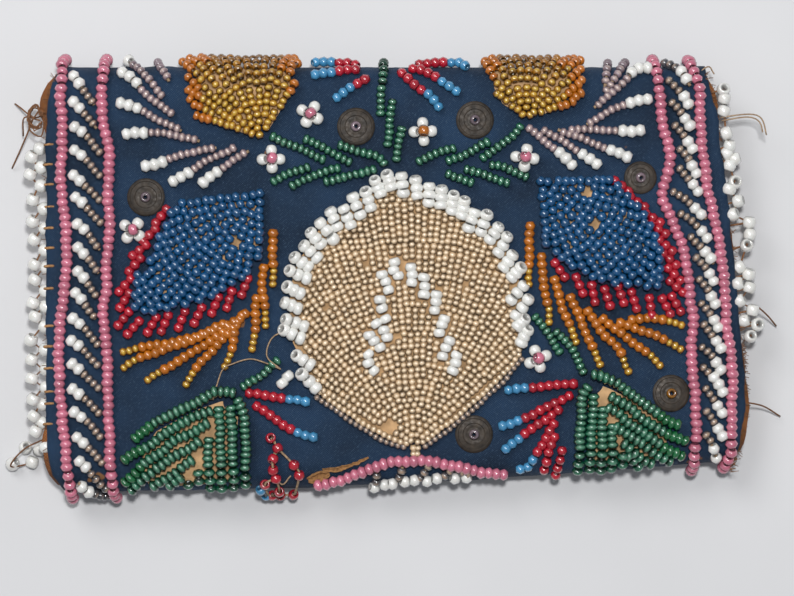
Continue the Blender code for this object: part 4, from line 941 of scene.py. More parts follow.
def lay_cloth(name, inset, thickness, across, rounds, face, edge, pucker):
    """The strip as one folded sheet: edge moves its two sides, pucker sinks its upper face."""
    count = len(strip_path(0, inset, rounds, face))
    bpy.ops.object.select_all(action="DESELECT")
    bpy.ops.mesh.primitive_grid_add(x_subdivisions=across, y_subdivisions=count - 1, size=1.0,
                                    calc_uvs=True)
    sheet = bpy.context.object
    sheet.name = name
    columns = [strip_path(LEFT_EDGE[0][1] + (RIGHT_EDGE[0][1] - LEFT_EDGE[0][1]) * k / across,
                          inset, rounds, face) for k in range(across + 1)]
    along = {}
    for vertex in sheet.data.vertices:
        part = vertex.co.x + 0.5
        step = round((vertex.co.y + 0.5) * (count - 1))
        column = columns[round(part * across)]
        y, z = column[step]
        left = between(LEFT_EDGE, y) - edge(y, z, -1)
        right = between(RIGHT_EDGE, y) + edge(y, z, 1)
        x = left + (right - left) * part
        sink = pucker(x, y) if z > FOLD_RADIUS + 1 and face > 20 else 0.0
        before = column[max(step - 1, 0)]
        after = column[min(step + 1, count - 1)]
        way = Vector((0, after[0] - before[0], after[1] - before[1])).normalized()
        out = Vector((0, way.z, -way.y))
        vertex.co = (Vector((x, y, z)) - out * sink) * MM
        along[vertex.index] = (x, sum(math.dist(a, b) for a, b in zip(column[:step], column[1:])))
    for loop in sheet.data.loops:
        x, distance = along[loop.vertex_index]
        sheet.data.uv_layers[0].data[loop.index].uv = (x * MM, distance * MM)
    bpy.context.view_layer.objects.active = sheet
    wall = sheet.modifiers.new("thickness", "SOLIDIFY")
    wall.thickness = thickness * MM
    wall.offset = -1
    bpy.ops.object.modifier_apply(modifier=wall.name)
    bpy.ops.object.shade_smooth()
    return sheet


def wavy(y, seed, size):
    return size * noise.noise(Vector((y * 0.16, seed, 0.0))) + 0.4 * size * noise.noise(
        Vector((y * 0.7, seed + 5.0, 0.0)))


def cover_edge(y, z, side):
    return wavy(y, 3.0 + side, 0.55)


def cover_pucker(x, y):
    """How far the cotton sinks between stitches, in millimetres."""
    broad = noise.noise(Vector((x * 0.07, y * 0.11, 1.0)))
    small = noise.noise(Vector((x * 0.32, y * 0.3, 4.0)))
    crease = abs(noise.noise(Vector(((x + y) * 0.16, (x - y) * 0.05, 8.0))))
    return max(0.0, 0.22 + 0.3 * broad + 0.2 * small - 0.25 * crease)


def lining_edge(y, z, side):
    """The brown lining shows past the cotton where the edge has worn away."""
    shown = 0.0
    if z > FOLD_RADIUS:
        spots = [(38, 6, 2.2), (-40, 8, 1.6)] if side < 0 else [(-30, 12, 1.5), (38, 6, 1.2), (8, 5, 0.6)]
        for middle, reach, size in spots:
            shown += size * math.exp(-((y - middle) / reach) ** 2)
    return shown - 0.3 + wavy(y, 11.0 + side, 0.5)


def sinking(points):
    """A thread past the edge, in metres, that sinks evenly from its first height to its last."""
    line = eased([(x, y) for x, y, _ in points], 0.8)
    start, end = points[0][2], points[-1][2]
    return [Vector((x, y, start + (end - start) * k / (len(line) - 1))) * MM
            for k, (x, y) in enumerate(line)]


def tubes(name, lines, diameter, sides, material, tray, nodes=()):
    """One piece from round threads through these places; each line is a list of points."""
    corners, faces = [], []
    for line in lines:
        base = len(corners)
        for number, point in enumerate(line):
            before = line[max(number - 1, 0)]
            after = line[min(number + 1, len(line) - 1)]
            turn = (after - before).to_track_quat("Z", "Y").to_matrix()
            for k in range(sides):
                angle = 2 * math.pi * k / sides
                reach = Vector((math.cos(angle), math.sin(angle), 0)) * diameter * MM / 2
                corners.append(point + turn @ reach)
        for number in range(len(line) - 1):
            for k in range(sides):
                a = base + number * sides + k
                b = base + number * sides + (k + 1) % sides
                faces.append((a, b, b + sides, a + sides))
        faces.append([base + k for k in reversed(range(sides))])
        faces.append([base + (len(line) - 1) * sides + k for k in range(sides)])
    mesh = bpy.data.meshes.new(name)
    mesh.from_pydata([tuple(c) for c in corners], [], faces)
    mesh.polygons.foreach_set("use_smooth", [True] * len(mesh.polygons))
    mesh.materials.append(material)
    piece = bpy.data.objects.new(name, mesh)
    bpy.context.scene.collection.objects.link(piece)
    settle(piece, tray, nodes)
    return piece


class BagColours(bpy.types.PropertyGroup):
    """The colours of the bag's cloth, paper, thread and glass."""


for key, (title, tint) in COLOURS.items():
    BagColours.__annotations__[key] = bpy.props.FloatVectorProperty(
        name=title, description=f"Colour of the {title.lower()}", default=tint, size=3,
        min=0.0, max=1.0, subtype="COLOR")


class BagSizes(bpy.types.PropertyGroup):
    """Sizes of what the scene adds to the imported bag."""

    weave: bpy.props.FloatProperty(
        name="Weave", description="Width of one thread of the cotton", default=0.00034,
        unit="LENGTH")
    thread: bpy.props.FloatProperty(
        name="Sewing thread", description="Thickness of the sewing thread", default=0.0004,
        unit="LENGTH")
    spangle: bpy.props.FloatProperty(
        name="Spangle", description="Width of a brass spangle", default=0.008, unit="LENGTH")
    camera_height: bpy.props.FloatProperty(
        name="Camera height", description="Height of the camera over the flap", default=0.6,
        unit="LENGTH")


class BAG_OT_cloth(bpy.types.Operator):
    """Lays the folded strip: blue cotton outside, brown lining inside."""

    bl_idname = "bag.cloth"
    bl_label = "Cloth"

    def execute(self, context):
        weave = WAVE_PERIOD / context.scene.bag_sizes.weave
        cover = lay_cloth("cotton_cover", 0.0, COVER_THICKNESS, 150, 10, 92, cover_edge, cover_pucker)
        cover.data.materials.append(cotton("cotton_weave", colour("cloth"), weave,
                                           WEAR_AND_GLINT_COTTON, 0.27))
        settle(cover, "cloth", ["outer_cover"])
        inside = COVER_THICKNESS + CLEARANCE
        lining = lay_cloth("brown_lining", inside, LINING_THICKNESS, 60, 8, 60, lining_edge,
                           lambda x, y: 0.0)
        lining.data.materials.append(cotton("lining_weave", colour("lining"), weave * 0.8,
                                            WORN_LINING, 0.1))
        settle(lining, "lining", ["lining"])
        return {"FINISHED"}


class BAG_OT_papers(bpy.types.Operator):
    """Gives the paper patterns under the beadwork their finish."""

    bl_idname = "bag.papers"
    bl_label = "Paper patterns"

    def execute(self, context):
        for name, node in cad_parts.items():
            if "_paper" in name:
                node.data.materials.clear()
                node.data.materials.append(paper_finish())
        return {"FINISHED"}


class BAG_OT_borders(bpy.types.Operator):
    """Strings the pink lines, the slanting strands between them and the arch."""

    bl_idname = "bag.borders"
    bl_label = "Borders"

    def execute(self, context):
        chance = random.Random(11)
        bead = model_bead(12, 6)
        lines = {"pink_line_outer_left": OUTER_LINE_LEFT, "pink_line_inner_left": INNER_LINE_LEFT,
                 "pink_line_inner_right": INNER_LINE_RIGHT,
                 "pink_line_outer_right": OUTER_LINE_RIGHT, "arch_line": ARCH_LINE}
        for name, points in lines.items():
            laid = strand(points, [("pink", "pink", None)], chance)
            thread_beads(name + "_beads", laid["pink"], "pink", [name], bead)
        for side, starts_at, ends_at, (count, top, pitch) in (
                ("left", OUTER_LINE_LEFT, INNER_LINE_LEFT, RUNGS_LEFT),
                ("right", INNER_LINE_RIGHT, OUTER_LINE_RIGHT, RUNGS_RIGHT)):
            starts = sorted((y, x) for x, y in starts_at)
            ends = sorted((y, x) for x, y in ends_at)
            trays = defaultdict(list)
            cores = []
            for number in range(count):
                y = top - pitch * number + chance.uniform(-0.3, 0.3)
                first = (between(starts, y) + 1.9, y + 0.9)
                last = (between(ends, y - RUNG_DROP) - 1.7, y - RUNG_DROP - 0.4)
                middle = ((first[0] + last[0]) / 2, (first[1] + last[1]) / 2 + RUNG_SAG)
                cores.append([first, middle, last])
                whites = ("white", "white", 3 if side == "right" and number == 14 else 2)
                runs = [whites, ("clear", "clear", None)]
                if side == "right":
                    runs.reverse()
                gather(trays, strand([first, middle, last], runs, chance))
            core_threads(f"rung_cores_{side}", cores, "clear")
            names = {"white": f"rung_white_beads_{side}", "clear": f"rung_clear_beads_{side}"}
            string_up(trays, names, [f"rung_beads_{side}"], bead)
        rungs = [[(x, round_fold(x, y, 1.0)) for x, y in rung] for rung in ARCH_RUNGS]
        trays = strands(rungs, [("clear", "clear", None)], chance)
        core_threads("arch_cores", rungs, "clear")
        for x, y in ARCH_WHITES:
            lying = lay_bead(x, y, chance.uniform(-0.4, 0.4), 2.7, 2.0, chance)
            trays["white"].append(lying._replace(centre=seen_place(x, y, 1.4)))
        string_up(trays, {"clear": "arch_clear_beads", "white": "arch_white_beads"},
                  ["arch_rungs"], bead)
        return {"FINISHED"}


class BAG_OT_edging(bpy.types.Operator):
    """Strings the white zigzag edging down each side."""

    bl_idname = "bag.edging"
    bl_label = "Edging"

    def execute(self, context):
        chance = random.Random(23)
        bead = model_bead(12, 8)
        size, length = BEAD_SIZES["edge"]
        level = HEIGHT - COVER_THICKNESS + 0.1

        def edge_bead(x, y, axis, z=level):
            tilt = Vector((chance.uniform(-0.2, 0.2), chance.uniform(-0.2, 0.2),
                           chance.uniform(-0.2, 0.2)))
            return Bead(Vector((x, y, z + chance.uniform(-0.3, 0.3))) * MM,
                        (axis.normalized() + tilt).normalized(), size * chance.uniform(0.94, 1.05), length,
                        chance.random())

        beads = [edge_bead(x, y, Vector((0.5, 1, 0.15))) for x, y in EDGING_LEFT_OUTER]
        beads += [edge_bead(x + 0.6, y, Vector((1, chance.uniform(-0.5, 0.2), 0.2)), level - 0.9)
                  for x, y in EDGING_LEFT_INNER]
        thread_beads("edging_beads_left", beads, "white", ["edge_beads_left"], bead)
        ways = {"up": Vector((0.3, 0.3, 1)), "down": Vector((0.2, 1, 0.1)), "out": Vector((1, 0.4, 0.2))}
        beads = [edge_bead(x, y, ways[way]) for x, y, way in EDGING_RIGHT]
        thread_beads("edging_beads_right", beads, "white", ["edge_beads_right"], bead)
        beads = [edge_bead(x, y, Vector(axis), FALLEN_LEVEL) for x, y, axis in LOOSE_EDGING]
        thread_beads("loose_edging_beads", beads, "white", [], bead)
        return {"FINISHED"}


class BAG_OT_medallion(bpy.types.Operator):
    """Strings the beige field, the white rim, the peak and the pointed outline."""

    bl_idname = "bag.medallion"
    bl_label = "Medallion"

    def execute(self, context):
        chance = random.Random(37)
        small = model_bead(10, 6)
        large = model_bead(12, 8)
        outline = [POINT_LEFT[0]]
        for (ox, oy), (ix, iy) in RIM:
            away = math.dist((ox, oy), (ix, iy))
            outline.append((ix + (ix - ox) * 0.2 / away, iy + (iy - oy) * 0.2 / away))
        outline.append(POINT_RIGHT[0])
        self.paper()
        field = fill(TIP, outline, "beige", 1.4, 0.2, chance, MEDALLION_BED, 0.9, PEAK + BARE_PAPER,
                     0.004)
        thread_beads("medallion_field_beads", [bead for bead, _, _ in field], "beige",
                     ["medallion_field"], small)

        whites = []
        for (ox, oy), (ix, iy) in RIM:
            heading = math.atan2(oy - iy, ox - ix)
            length = math.dist((ox, oy), (ix, iy)) / 2
            for place in range(3):
                share = place / 2
                x = ox + (ix - ox) * share + chance.uniform(-0.1, 0.1)
                y = oy + (iy - oy) * share + chance.uniform(-0.1, 0.1)
                size = 3.0 * chance.uniform(0.95, 1.06)
                bead = lay_bead(x, y, heading + chance.uniform(-0.12, 0.12), size,
                                min(2.2, max(1.85, length)), chance, MEDALLION_BED - 0.2 * (2 - place))
                lean = chance.uniform(0.1, 1.1) if place == 0 else chance.uniform(-0.1, 0.35)
                axis = (bead.axis + Vector((0, 0, lean))).normalized()
                whites.append(bead._replace(axis=axis))
        thread_beads("medallion_rim_beads", whites, "white", ["medallion_rim"], large)

        tops = []
        for x, y in PEAK:
            heading = math.atan2(TIP[1] - y, TIP[0] - x) + chance.uniform(-0.25, 0.25)
            tops.append(lay_bead(x, y, heading, 2.75 * chance.uniform(0.94, 1.06), 1.85, chance,
                                 MEDALLION_BED, 0.15))
        thread_beads("medallion_peak_beads", tops, "white", ["medallion_peak"], large)

        for name, points, away in (("left", POINT_LEFT, -0.62), ("right", POINT_RIGHT, 0.62)):
            laid = strand(points, [("beige", "beige", None)], chance, MEDALLION_BED - 0.4)
            thread_beads(f"medallion_point_gold_{name}", laid["beige"], "beige", [], small)
            outside = [(x + away, y - 1.0) for x, y in points]
            laid = strand(outside, [("clear", "beige", None)], chance, 0.1)
            thread_beads(f"medallion_point_silver_{name}", laid["clear"], "clear", [], small)
        tail = strand([(3.8, -35.9), (4.1, -38.0)], [("beige", "beige", None)], chance, 0.3)
        tail["beige"] += strand([(5.0, -35.9), (4.9, -38.0)], [("beige", "beige", None)], chance,
                                0.3)["beige"]
        thread_beads("medallion_tail_beads", tail["beige"], "beige", [], small)
        return {"FINISHED"}

    def paper(self):
        """The paper pattern under the medallion, cut just inside its outermost beads."""
        low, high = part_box("medallion_paper")
        edge = [POINT_LEFT[0]]
        for (ox, oy), (ix, iy) in RIM:
            away = math.dist((ox, oy), (ix, iy))
            edge.append((ox + (ix - ox) * 0.8 / away, oy + (iy - oy) * 0.8 / away))
        edge += [*POINT_RIGHT, *reversed(POINT_LEFT[1:])]
        bpy.ops.object.select_all(action="DESELECT")
        bpy.ops.mesh.primitive_circle_add(vertices=len(edge), fill_type="NGON")
        sheet = bpy.context.object
        sheet.name = "medallion_paper_sheet"
        for vertex, (x, y) in zip(sheet.data.vertices, edge):
            vertex.co = (x * MM, y * MM, high[2])
        bpy.ops.object.mode_set(mode="EDIT")
        bpy.ops.mesh.select_all(action="SELECT")
        bpy.ops.mesh.normals_make_consistent(inside=False)
        bpy.ops.object.mode_set(mode="OBJECT")
        if sheet.data.polygons[0].normal.z < 0:
            sheet.data.flip_normals()
        wall = sheet.modifiers.new("sheet", "SOLIDIFY")
        wall.thickness = high[2] - low[2]
        wall.offset = -1
        bpy.ops.object.modifier_apply(modifier=wall.name)
        sheet.data.materials.append(paper_finish())
        settle(sheet, "paper", ["medallion_paper"])


class BAG_OT_amber_leaves(bpy.types.Operator):
    """Strings the amber leaves with their orange ends round the top fold."""

    bl_idname = "bag.amber_leaves"
    bl_label = "Amber leaves"

    def execute(self, context):
        chance = random.Random(41)
        bead = model_bead(10, 6)
        for side, (corner, outline) in (("left", AMBER_LEFT), ("right", AMBER_RIGHT)):
            trays = defaultdict(list)
            for laid, step, (x, y) in fill(corner, outline, "amber", 1.78, 0.5, chance, LEAF_BED, 0.6,
                                           (), 0.004, 4):
                outer = abs(x) - abs(corner[0]) > (13.0 if side == "left" else 9.0)
                inner = -24.0 < x < 20.6 and y > (41.0 if side == "left" else 43.0)
                opaque = step < 3 and (outer or inner)
                if opaque:
                    laid = laid._replace(size=laid.size * 1.15)
                trays["orange" if opaque else "amber"].append(laid)
            string_up(trays, {"amber": f"amber_leaf_beads_{side}",
                              "orange": f"amber_leaf_ends_{side}"}, [f"amber_leaf_{side}"], bead)
        return {"FINISHED"}


class BAG_OT_blue_leaves(bpy.types.Operator):
    """Strings the blue leaves and the red groups round them."""

    bl_idname = "bag.blue_leaves"
    bl_label = "Blue leaves"

    def execute(self, context):
        chance = random.Random(43)
        bead = model_bead(10, 6)
        for side, (corner, outline), groups in (("left", BLUE_LEFT, RED_GROUPS_LEFT),
                                                ("right", BLUE_RIGHT, RED_GROUPS_RIGHT)):
            rows = fill(corner, outline, "blue", 1.86, 0.35, chance, LEAF_BED, 0.3, (), 0.012, 7)
            blues = [laid for laid, _, _ in rows]
            thread_beads(f"blue_leaf_beads_{side}", blues, "blue", [f"blue_leaf_{side}"], bead)
            reds = []
            for start, end in groups:
                heading = math.atan2(end[1] - start[1], end[0] - start[0])
                for place in range(3):
                    x = start[0] + math.cos(heading) * 1.85 * (place - 0.1)
                    y = start[1] + math.sin(heading) * 1.85 * (place - 0.1)
                    reds.append(lay_bead(x, y, heading + chance.uniform(-0.15, 0.15),
                                         2.3 * chance.uniform(0.95, 1.06), 1.8, chance, 0.2))
            thread_beads(f"red_tip_beads_{side}", reds, "red", [f"red_tips_{side}"], bead)
        return {"FINISHED"}


class BAG_OT_green_leaves(bpy.types.Operator):
    """Strings the green leaves round the bottom fold."""

    bl_idname = "bag.green_leaves"
    bl_label = "Green leaves"

    def execute(self, context):
        chance = random.Random(47)
        bead = model_bead(10, 6)
        for side, rows in (("left", GREEN_LEFT), ("right", GREEN_RIGHT)):
            lists = [[(x, round_fold(x, y, 2.0)) for x, y in row] for row in rows]
            runs = [[("green", "leaf", None), ("forest", "leaf", 4 if number < 3 else 0)]
                    for number in range(len(rows))]
            string_up(strands(lists, runs, chance, LEAF_BED), {
                "green": f"green_leaf_beads_{side}", "forest": f"green_leaf_ends_{side}"},
                [f"green_leaf_{side}"], bead)
        return {"FINISHED"}


class BAG_OT_sprays(bpy.types.Operator):
    """Strings the lavender and red sprays."""

    bl_idname = "bag.sprays"
    bl_label = "Sprays"

    def execute(self, context):
        chance = random.Random(53)
        bead = model_bead(10, 6)
        for side, lists, tips in (("left", LAVENDER_LEFT, LAVENDER_TIPS_LEFT),
                                  ("right", LAVENDER_RIGHT, LAVENDER_TIPS_RIGHT)):
            runs = [[("white", "white", count), ("lavender", "lavender", None)] for count in tips]
            trays = strands(lists, runs, chance)
            core_threads(f"lavender_cores_{side}", lists, "lavender")
            string_up(trays, {"white": f"lavender_spray_tips_{side}",
                              "lavender": f"lavender_spray_beads_{side}"},
                      [f"lavender_spray_{side}"], bead)
        tip_first = [("sky", "sky", 3), ("red", "red", None)]
        tip_last = [("red", "red", None), ("sky", "sky", 3)]
        all_red = [("red", "red", None)]
        for place, lists, runs in (
                ("top_left", RED_SPRAY_TOP_LEFT, tip_first),
                ("top_right", RED_SPRAY_TOP_RIGHT, tip_last),
                ("bottom_left", RED_SPRAY_BOTTOM_LEFT, tip_last),
                ("bottom_right", RED_SPRAY_BOTTOM_RIGHT, [tip_last] * 4 + [all_red] * 2)):
            trays = strands(lists, runs, chance)
            string_up(trays, {"red": f"red_spray_beads_{place}", "sky": f"red_spray_tips_{place}"},
                      [f"red_spray_{place}"], bead)
        return {"FINISHED"}


class BAG_OT_fronds(bpy.types.Operator):
    """Strings the orange fronds, the green ferns and the stems."""

    bl_idname = "bag.fronds"
    bl_label = "Fronds and ferns"

    def execute(self, context):
        chance = random.Random(59)
        bead = model_bead(10, 6)
        for side, lists in (("left", FROND_LEFT), ("right", FROND_RIGHT)):
            runs = [("orange", "orange", None), ("amber", "amber", 3)]
            string_up(strands(lists, runs, chance),
                      {"orange": f"orange_frond_beads_{side}", "amber": f"orange_frond_ends_{side}"},
                      [f"orange_frond_{side}"], bead)
        for name, lists in (("green_stem_top", GREEN_STEM_TOP), ("green_fern_left", GREEN_FERN_LEFT),
                            ("green_fern_right", GREEN_FERN_RIGHT),
                            ("green_stem_left", GREEN_STEM_LEFT),
                            ("green_stem_right", GREEN_STEM_RIGHT)):
            trays = strands(lists, [("green", "green", None)], chance)
            string_up(trays, {"green": name + "_beads"}, [name], bead)
        return {"FINISHED"}


class BAG_OT_flowers(bpy.types.Operator):
    """Strings the small flowers and the loose white pair."""

    bl_idname = "bag.flowers"
    bl_label = "Flowers"

    def execute(self, context):
        chance = random.Random(61)
        bead = model_bead(12, 8)
        for number, (x, y, turned, middle) in enumerate(FLOWERS):
            whites = []
            for quarter in range(4):
                angle = math.radians(turned + 90 * quarter) + chance.uniform(-0.12, 0.12)
                away = chance.uniform(1.8, 2.0)
                petal = lay_bead(x + away * math.cos(angle), y + away * math.sin(angle), angle,
                                 chance.uniform(2.5, 2.75), 2.0, chance)
                axis = petal.axis - Vector((0, 0, chance.uniform(0.3, 0.8)))
                whites.append(petal._replace(axis=axis.normalized()))
            centre = [lay_bead(x + 0.2, y + 0.2, chance.uniform(0, 3), 2.6, 1.9, chance, 0.75, 0.5)]
            node = f"flower_{number + 1}"
            thread_beads(node + "_petals", whites, "white", [node], bead)
            thread_beads(node + "_centre", centre, middle, [node], bead)
        pair = [lay_bead(x, y, 2.2, 2.8, 2.1, chance) for x, y in LOOSE_PAIR]
        thread_beads("loose_pair_beads", pair, "white", ["loose_pair"], bead)
        return {"FINISHED"}


class BAG_OT_spangles(bpy.types.Operator):
    """Turns the brass spangles and sets the bead that holds each one."""

    bl_idname = "bag.spangles"
    bl_label = "Spangles"

    def execute(self, context):
        chance = random.Random(67)
        bead = model_bead(12, 8)
        for number, (x, y, share, kind) in enumerate(SPANGLES):
            radius = context.scene.bag_sizes.spangle / 2 * share
            bpy.ops.object.select_all(action="DESELECT")
            bpy.ops.mesh.primitive_circle_add(vertices=40, radius=radius)
            disc = bpy.context.object
            disc.name = f"spangle_{number + 1}_disc"
            bpy.ops.object.mode_set(mode="EDIT")
            bpy.ops.mesh.select_all(action="SELECT")
            for (wide, high), (narrow, higher) in zip(SPANGLE_PROFILE, SPANGLE_PROFILE[1:]):
                bpy.ops.mesh.extrude_region_move(
                    TRANSFORM_OT_translate={"value": (0, 0, (higher - high) * radius)})
                bpy.ops.transform.resize(value=(narrow / wide, narrow / wide, 1),
                                         center_override=(0, 0, 0))
            bpy.ops.mesh.select_all(action="SELECT")
            bpy.ops.mesh.normals_make_consistent(inside=False)
            bpy.ops.object.mode_set(mode="OBJECT")
            if sum(face.normal.z for face in disc.data.polygons) < 0:
                disc.data.flip_normals()
            wall = disc.modifiers.new("sheet", "SOLIDIFY")
            wall.thickness = SPANGLE_SHEET * MM
            wall.offset = 0
            bpy.ops.object.modifier_apply(modifier=wall.name)
            bpy.ops.object.shade_smooth_by_angle(angle=math.radians(35))
            lean = (chance.uniform(-0.05, 0.05), chance.uniform(-0.05, 0.05))
            turn = Matrix.Rotation(lean[0], 4, "X") @ Matrix.Rotation(lean[1], 4, "Y")
            disc.data.transform(Matrix.Translation(flap(x, y, 0.4)) @ turn)
            disc.data.materials.append(brass_finish())
            node = f"spangle_{number + 1}"
            settle(disc, "brass", [node])
            held = [stand_bead(x, y, 2.3, 1.5, chance, 0.6, 0.3)]
            thread_beads(node + "_bead", held, kind, [node], bead)
        return {"FINISHED"}


class BAG_OT_threads(bpy.types.Operator):
    """Adds the broken string, loose ends, edging threads, stitches, torn paper and frayed edges."""

    bl_idname = "bag.threads"
    bl_label = "Threads and wear"

    def execute(self, context):
        chance = random.Random(71)
        tan = thread_finish("spun_tan", colour("thread"))
        brown = thread_finish("spun_brown", BROWN_THREAD)
        bead = model_bead(12, 8)
        reds = []
        for number, (x, y) in enumerate(BROKEN_REDS):
            lying = lay_bead(x, y, chance.uniform(1.0, 2.2), 2.4, 1.9, chance, 0.3, 0.5)
            if number in STANDING_REDS:
                lying = lying._replace(axis=Vector((0.2, 0.3, 1)).normalized())
            reds.append(lying._replace(centre=seen_place(x, y, FALLEN_LIFT)))
        thread_beads("broken_string_reds", reds, "red", ["broken_string"], bead)
        skies = []
        for x, y in BROKEN_SKIES:
            lying = lay_bead(x, y, 2.0, 2.3, 1.8, chance, 0.2, 0.4)
            skies.append(lying._replace(centre=seen_place(x, y, FALLEN_LIFT)))
        thread_beads("broken_string_skies", skies, "sky", ["broken_string"], bead)
        strings = [[seen_place(x, y, FALLEN_LIFT) for x, y in eased([BROKEN_REDS[k] for k in order])]
                   for order in BROKEN_ORDER]
        tubes("broken_string_thread", strings, BROKEN_THREAD, 6, tan, "thread")

        loose = []
        for points, lift in LOOSE_THREADS:
            loose.append([flap(x, y, lift + 0.4 * abs(math.sin(k * 0.5)))
                          for k, (x, y) in enumerate(eased(points, 0.8))])
        thickness = context.scene.bag_sizes.thread / MM
        tubes("loose_thread_ends", loose, thickness * 0.8, 6, tan, "thread")

        tangle = [sinking(points) for points in EDGE_ENDS]
        for _ in range(5):
            ring = []
            for k in range(15):
                turn = 0.42 * k
                ring.append(Vector((TANGLE[0] + (1.5 + chance.uniform(-0.5, 0.4)) * math.cos(turn),
                                    TANGLE[1] + (2.6 + chance.uniform(-0.8, 0.5)) * math.sin(turn),
                                    TANGLE[2] + chance.uniform(-1.0, 1.4))) * MM)
            tangle.append(ring)
        tubes("edge_thread_ends", tangle, thickness * 0.9, 6, brown, "thread")
        self.tear()

        level = HEIGHT - COVER_THICKNESS
        zigzag = [place for pair in zip(EDGING_LEFT_INNER, EDGING_LEFT_OUTER) for place in pair]
        edging = [[Vector((x, y, level - 0.3)) * MM for x, y in zigzag],
                  [Vector((x, y, level)) * MM for x, y, _ in EDGING_RIGHT]]
        for x, y, _ in EDGING_RIGHT[::2]:
            edging.append([Vector((x, y, level)) * MM,
                           Vector((between(RIGHT_EDGE, y) - 0.6, y - 0.8, level + 0.3)) * MM])
        tubes("edging_threads", edging, EDGING_THREAD, 6, brown, "thread")

        stitches = []
        for y in EDGE_STITCHES:
            x = between(LEFT_EDGE, y) + 0.7 + chance.uniform(-0.2, 0.2)
            stitches.append([flap(x - 1.1, y, -0.35), flap(x - 0.8, y, 0.1), flap(x, y + 0.1, 0.2),
                             flap(x + 0.7, y + 0.1, 0.1), flap(x + 0.9, y + 0.1, -0.3)])
        tubes("edge_stitches", stitches, thickness * 1.5, 6, thread_finish("sewing_tan", SEWING_TAN),
              "thread")

        fuzz = []
        for side, edge, spots in ((-1, LEFT_EDGE, FRAYED_LEFT), (1, RIGHT_EDGE, FRAYED_RIGHT)):
            for low, high, count in spots:
                for _ in range(count):
                    y = chance.uniform(low, high)
                    x = between(edge, y)
                    z = HEIGHT - chance.uniform(0.2, 2.0)
                    start = Vector((x - side * 0.4, y, z))
                    way = Vector((side, chance.uniform(-1.2, 1.2), chance.uniform(-0.6, 0.4))).normalized()
                    reach = chance.uniform(0.6, 2.0)
                    bend = Vector((0, chance.uniform(-0.5, 0.5), chance.uniform(-0.4, 0.4)))
                    fuzz.append([start * MM, (start + way * reach * 0.55 + bend * 0.4) * MM,
                                 (start + way * reach + bend) * MM])
        tubes("frayed_edges", fuzz, FRAYED_FIBRE, 4, brown, "lining")
        return {"FINISHED"}

    def tear(self):
        """The old paper that curls out of the torn cloth by the arch."""
        for turn, (points, width) in enumerate(TORN_PAPER):
            path = eased(points, 0.5)
            count = len(path)
            bpy.ops.object.select_all(action="DESELECT")
            bpy.ops.mesh.primitive_grid_add(x_subdivisions=count - 1, y_subdivisions=8, size=1.0)
            curl = bpy.context.object
            curl.name = f"torn_paper_curl_{turn + 1}"
            for vertex in curl.data.vertices:
                number = round((vertex.co.x + 0.5) * (count - 1))
                x, y = path[number]
                tapered = width * (0.35 + 0.65 * math.sin(math.pi * (number + 1) / (count + 1)))
                bend = vertex.co.y * (4.4 + noise.noise(Vector((number * 0.4, turn, 2.0))))
                radius = tapered / 3.0
                side = radius * math.sin(bend) + 0.2 * noise.noise(Vector((number * 0.6, turn, 5.0)))
                lumps = 0.3 * abs(noise.noise(Vector((number * 0.3, turn, 7.0))))
                rise = radius * (1 - math.cos(bend)) + 0.2 + lumps
                vertex.co = flap(x - 0.4 * side, y + side, rise)
            wall = curl.modifiers.new("sheet", "SOLIDIFY")
            wall.thickness = PAPER_SHEET * MM
            wall.offset = 0
            bpy.ops.object.modifier_apply(modifier=wall.name)
            bpy.ops.object.shade_smooth_by_angle(angle=math.radians(40))
            curl.data.materials.append(thread_finish("brown_paper", TORN_BROWN))
            settle(curl, "lining")


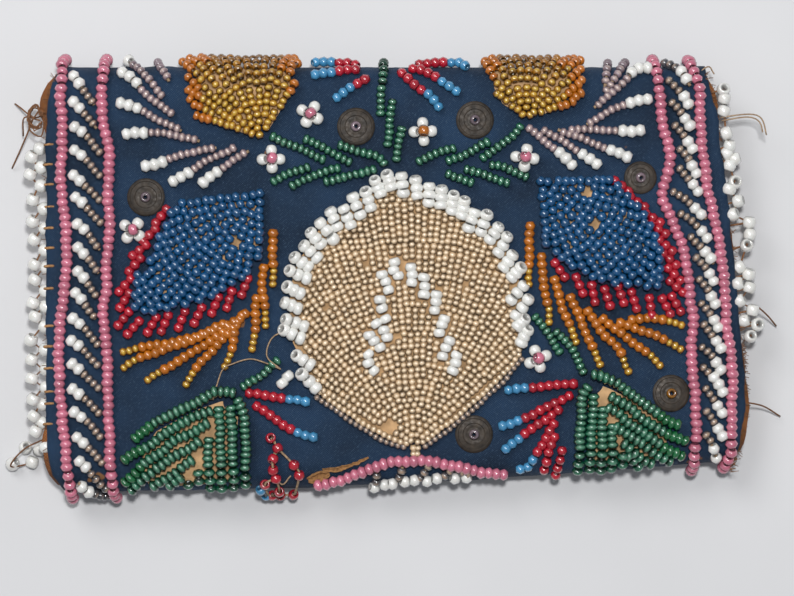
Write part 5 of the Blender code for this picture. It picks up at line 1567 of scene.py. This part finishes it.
class BAG_OT_stage(bpy.types.Operator):
    """Adds the pale floor, the soft lamps and the camera straight above the bag."""

    bl_idname = "bag.stage"
    bl_label = "Stage"

    def execute(self, context):
        bpy.ops.object.select_all(action="DESELECT")
        bpy.ops.mesh.primitive_plane_add(size=3.0, location=(0, 0, -0.0002))
        floor = context.object
        floor.name = "floor"
        bpy.ops.object.mode_set(mode="EDIT")
        bpy.ops.mesh.subdivide(number_cuts=6)
        bpy.ops.object.mode_set(mode="OBJECT")
        bpy.ops.object.transform_apply(location=True)
        material, nodes, links, shader = new_finish("pale_floor")
        tint = colour("floor")
        grain = narrowed(nodes, links, speckle(nodes, links, 14.0, 3.0), 0.3, 0.7)
        links.new(mixed(nodes, links, "MIX", grain, shade(tint, 0.97), shade(tint, 1.03)),
                  shader.inputs["Base Color"])
        shader.inputs["Roughness"].default_value = 0.8
        floor.data.materials.append(material)

        world = bpy.data.worlds.new("soft_room")
        world.use_nodes = True
        world.node_tree.nodes["Background"].inputs["Color"].default_value = (0.92, 0.95, 1.0, 1)
        world.node_tree.nodes["Background"].inputs["Strength"].default_value = ROOM_LIGHT
        context.scene.world = world
        for name, place, size, power in LAMPS:
            lamp = bpy.data.lights.new(name, "AREA")
            lamp.energy = power
            lamp.size = size
            holder = bpy.data.objects.new(name, lamp)
            holder.location = place
            holder.rotation_euler = (-Vector(place)).to_track_quat("-Z", "Y").to_euler()
            context.scene.collection.objects.link(holder)

        above = context.scene.bag_sizes.camera_height
        camera = bpy.data.cameras.new("camera")
        camera.sensor_width = 36
        camera.lens = camera.sensor_width * above / (PHOTO_WIDTH * MM_PER_PIXEL * MM)
        camera.clip_end = 10
        holder = bpy.data.objects.new("camera", camera)
        holder.location = (CAMERA_OVER[0] * MM, CAMERA_OVER[1] * MM, above + (HEIGHT + 1) * MM)
        context.scene.collection.objects.link(holder)
        context.scene.camera = holder
        context.scene.view_settings.view_transform = "Standard"
        return {"FINISHED"}


class BAG_PT_panel(bpy.types.Panel):
    """Lists the bag's pieces and colours."""

    bl_label = "Beaded Bag"
    bl_space_type = "VIEW_3D"
    bl_region_type = "UI"
    bl_category = "Beaded Bag"

    def draw(self, context):
        for operator in PIECES:
            self.layout.operator(operator.bl_idname)
        for name in BagSizes.__annotations__:
            self.layout.prop(context.scene.bag_sizes, name)
        for name in COLOURS:
            self.layout.prop(context.scene.bag_colours, name)


PIECES = (BAG_OT_cloth, BAG_OT_papers, BAG_OT_borders, BAG_OT_edging, BAG_OT_medallion,
          BAG_OT_amber_leaves, BAG_OT_blue_leaves, BAG_OT_green_leaves, BAG_OT_sprays,
          BAG_OT_fronds, BAG_OT_flowers, BAG_OT_spangles, BAG_OT_threads, BAG_OT_stage)
CLASSES = (BagColours, BagSizes, *PIECES, BAG_PT_panel)


def register():
    for cls in CLASSES:
        bpy.utils.register_class(cls)
    bpy.types.Scene.bag_colours = bpy.props.PointerProperty(type=BagColours)
    bpy.types.Scene.bag_sizes = bpy.props.PointerProperty(type=BagSizes)


def unregister():
    del bpy.types.Scene.bag_sizes
    del bpy.types.Scene.bag_colours
    for cls in reversed(CLASSES):
        bpy.utils.unregister_class(cls)


def main():
    register()
    bpy.ops.bag.cloth()
    bpy.ops.bag.papers()
    bpy.ops.bag.borders()
    bpy.ops.bag.edging()
    bpy.ops.bag.medallion()
    bpy.ops.bag.amber_leaves()
    bpy.ops.bag.blue_leaves()
    bpy.ops.bag.green_leaves()
    bpy.ops.bag.sprays()
    bpy.ops.bag.fronds()
    bpy.ops.bag.flowers()
    bpy.ops.bag.spangles()
    bpy.ops.bag.threads()
    bpy.ops.bag.stage()


if __name__ == "__main__":
    main()
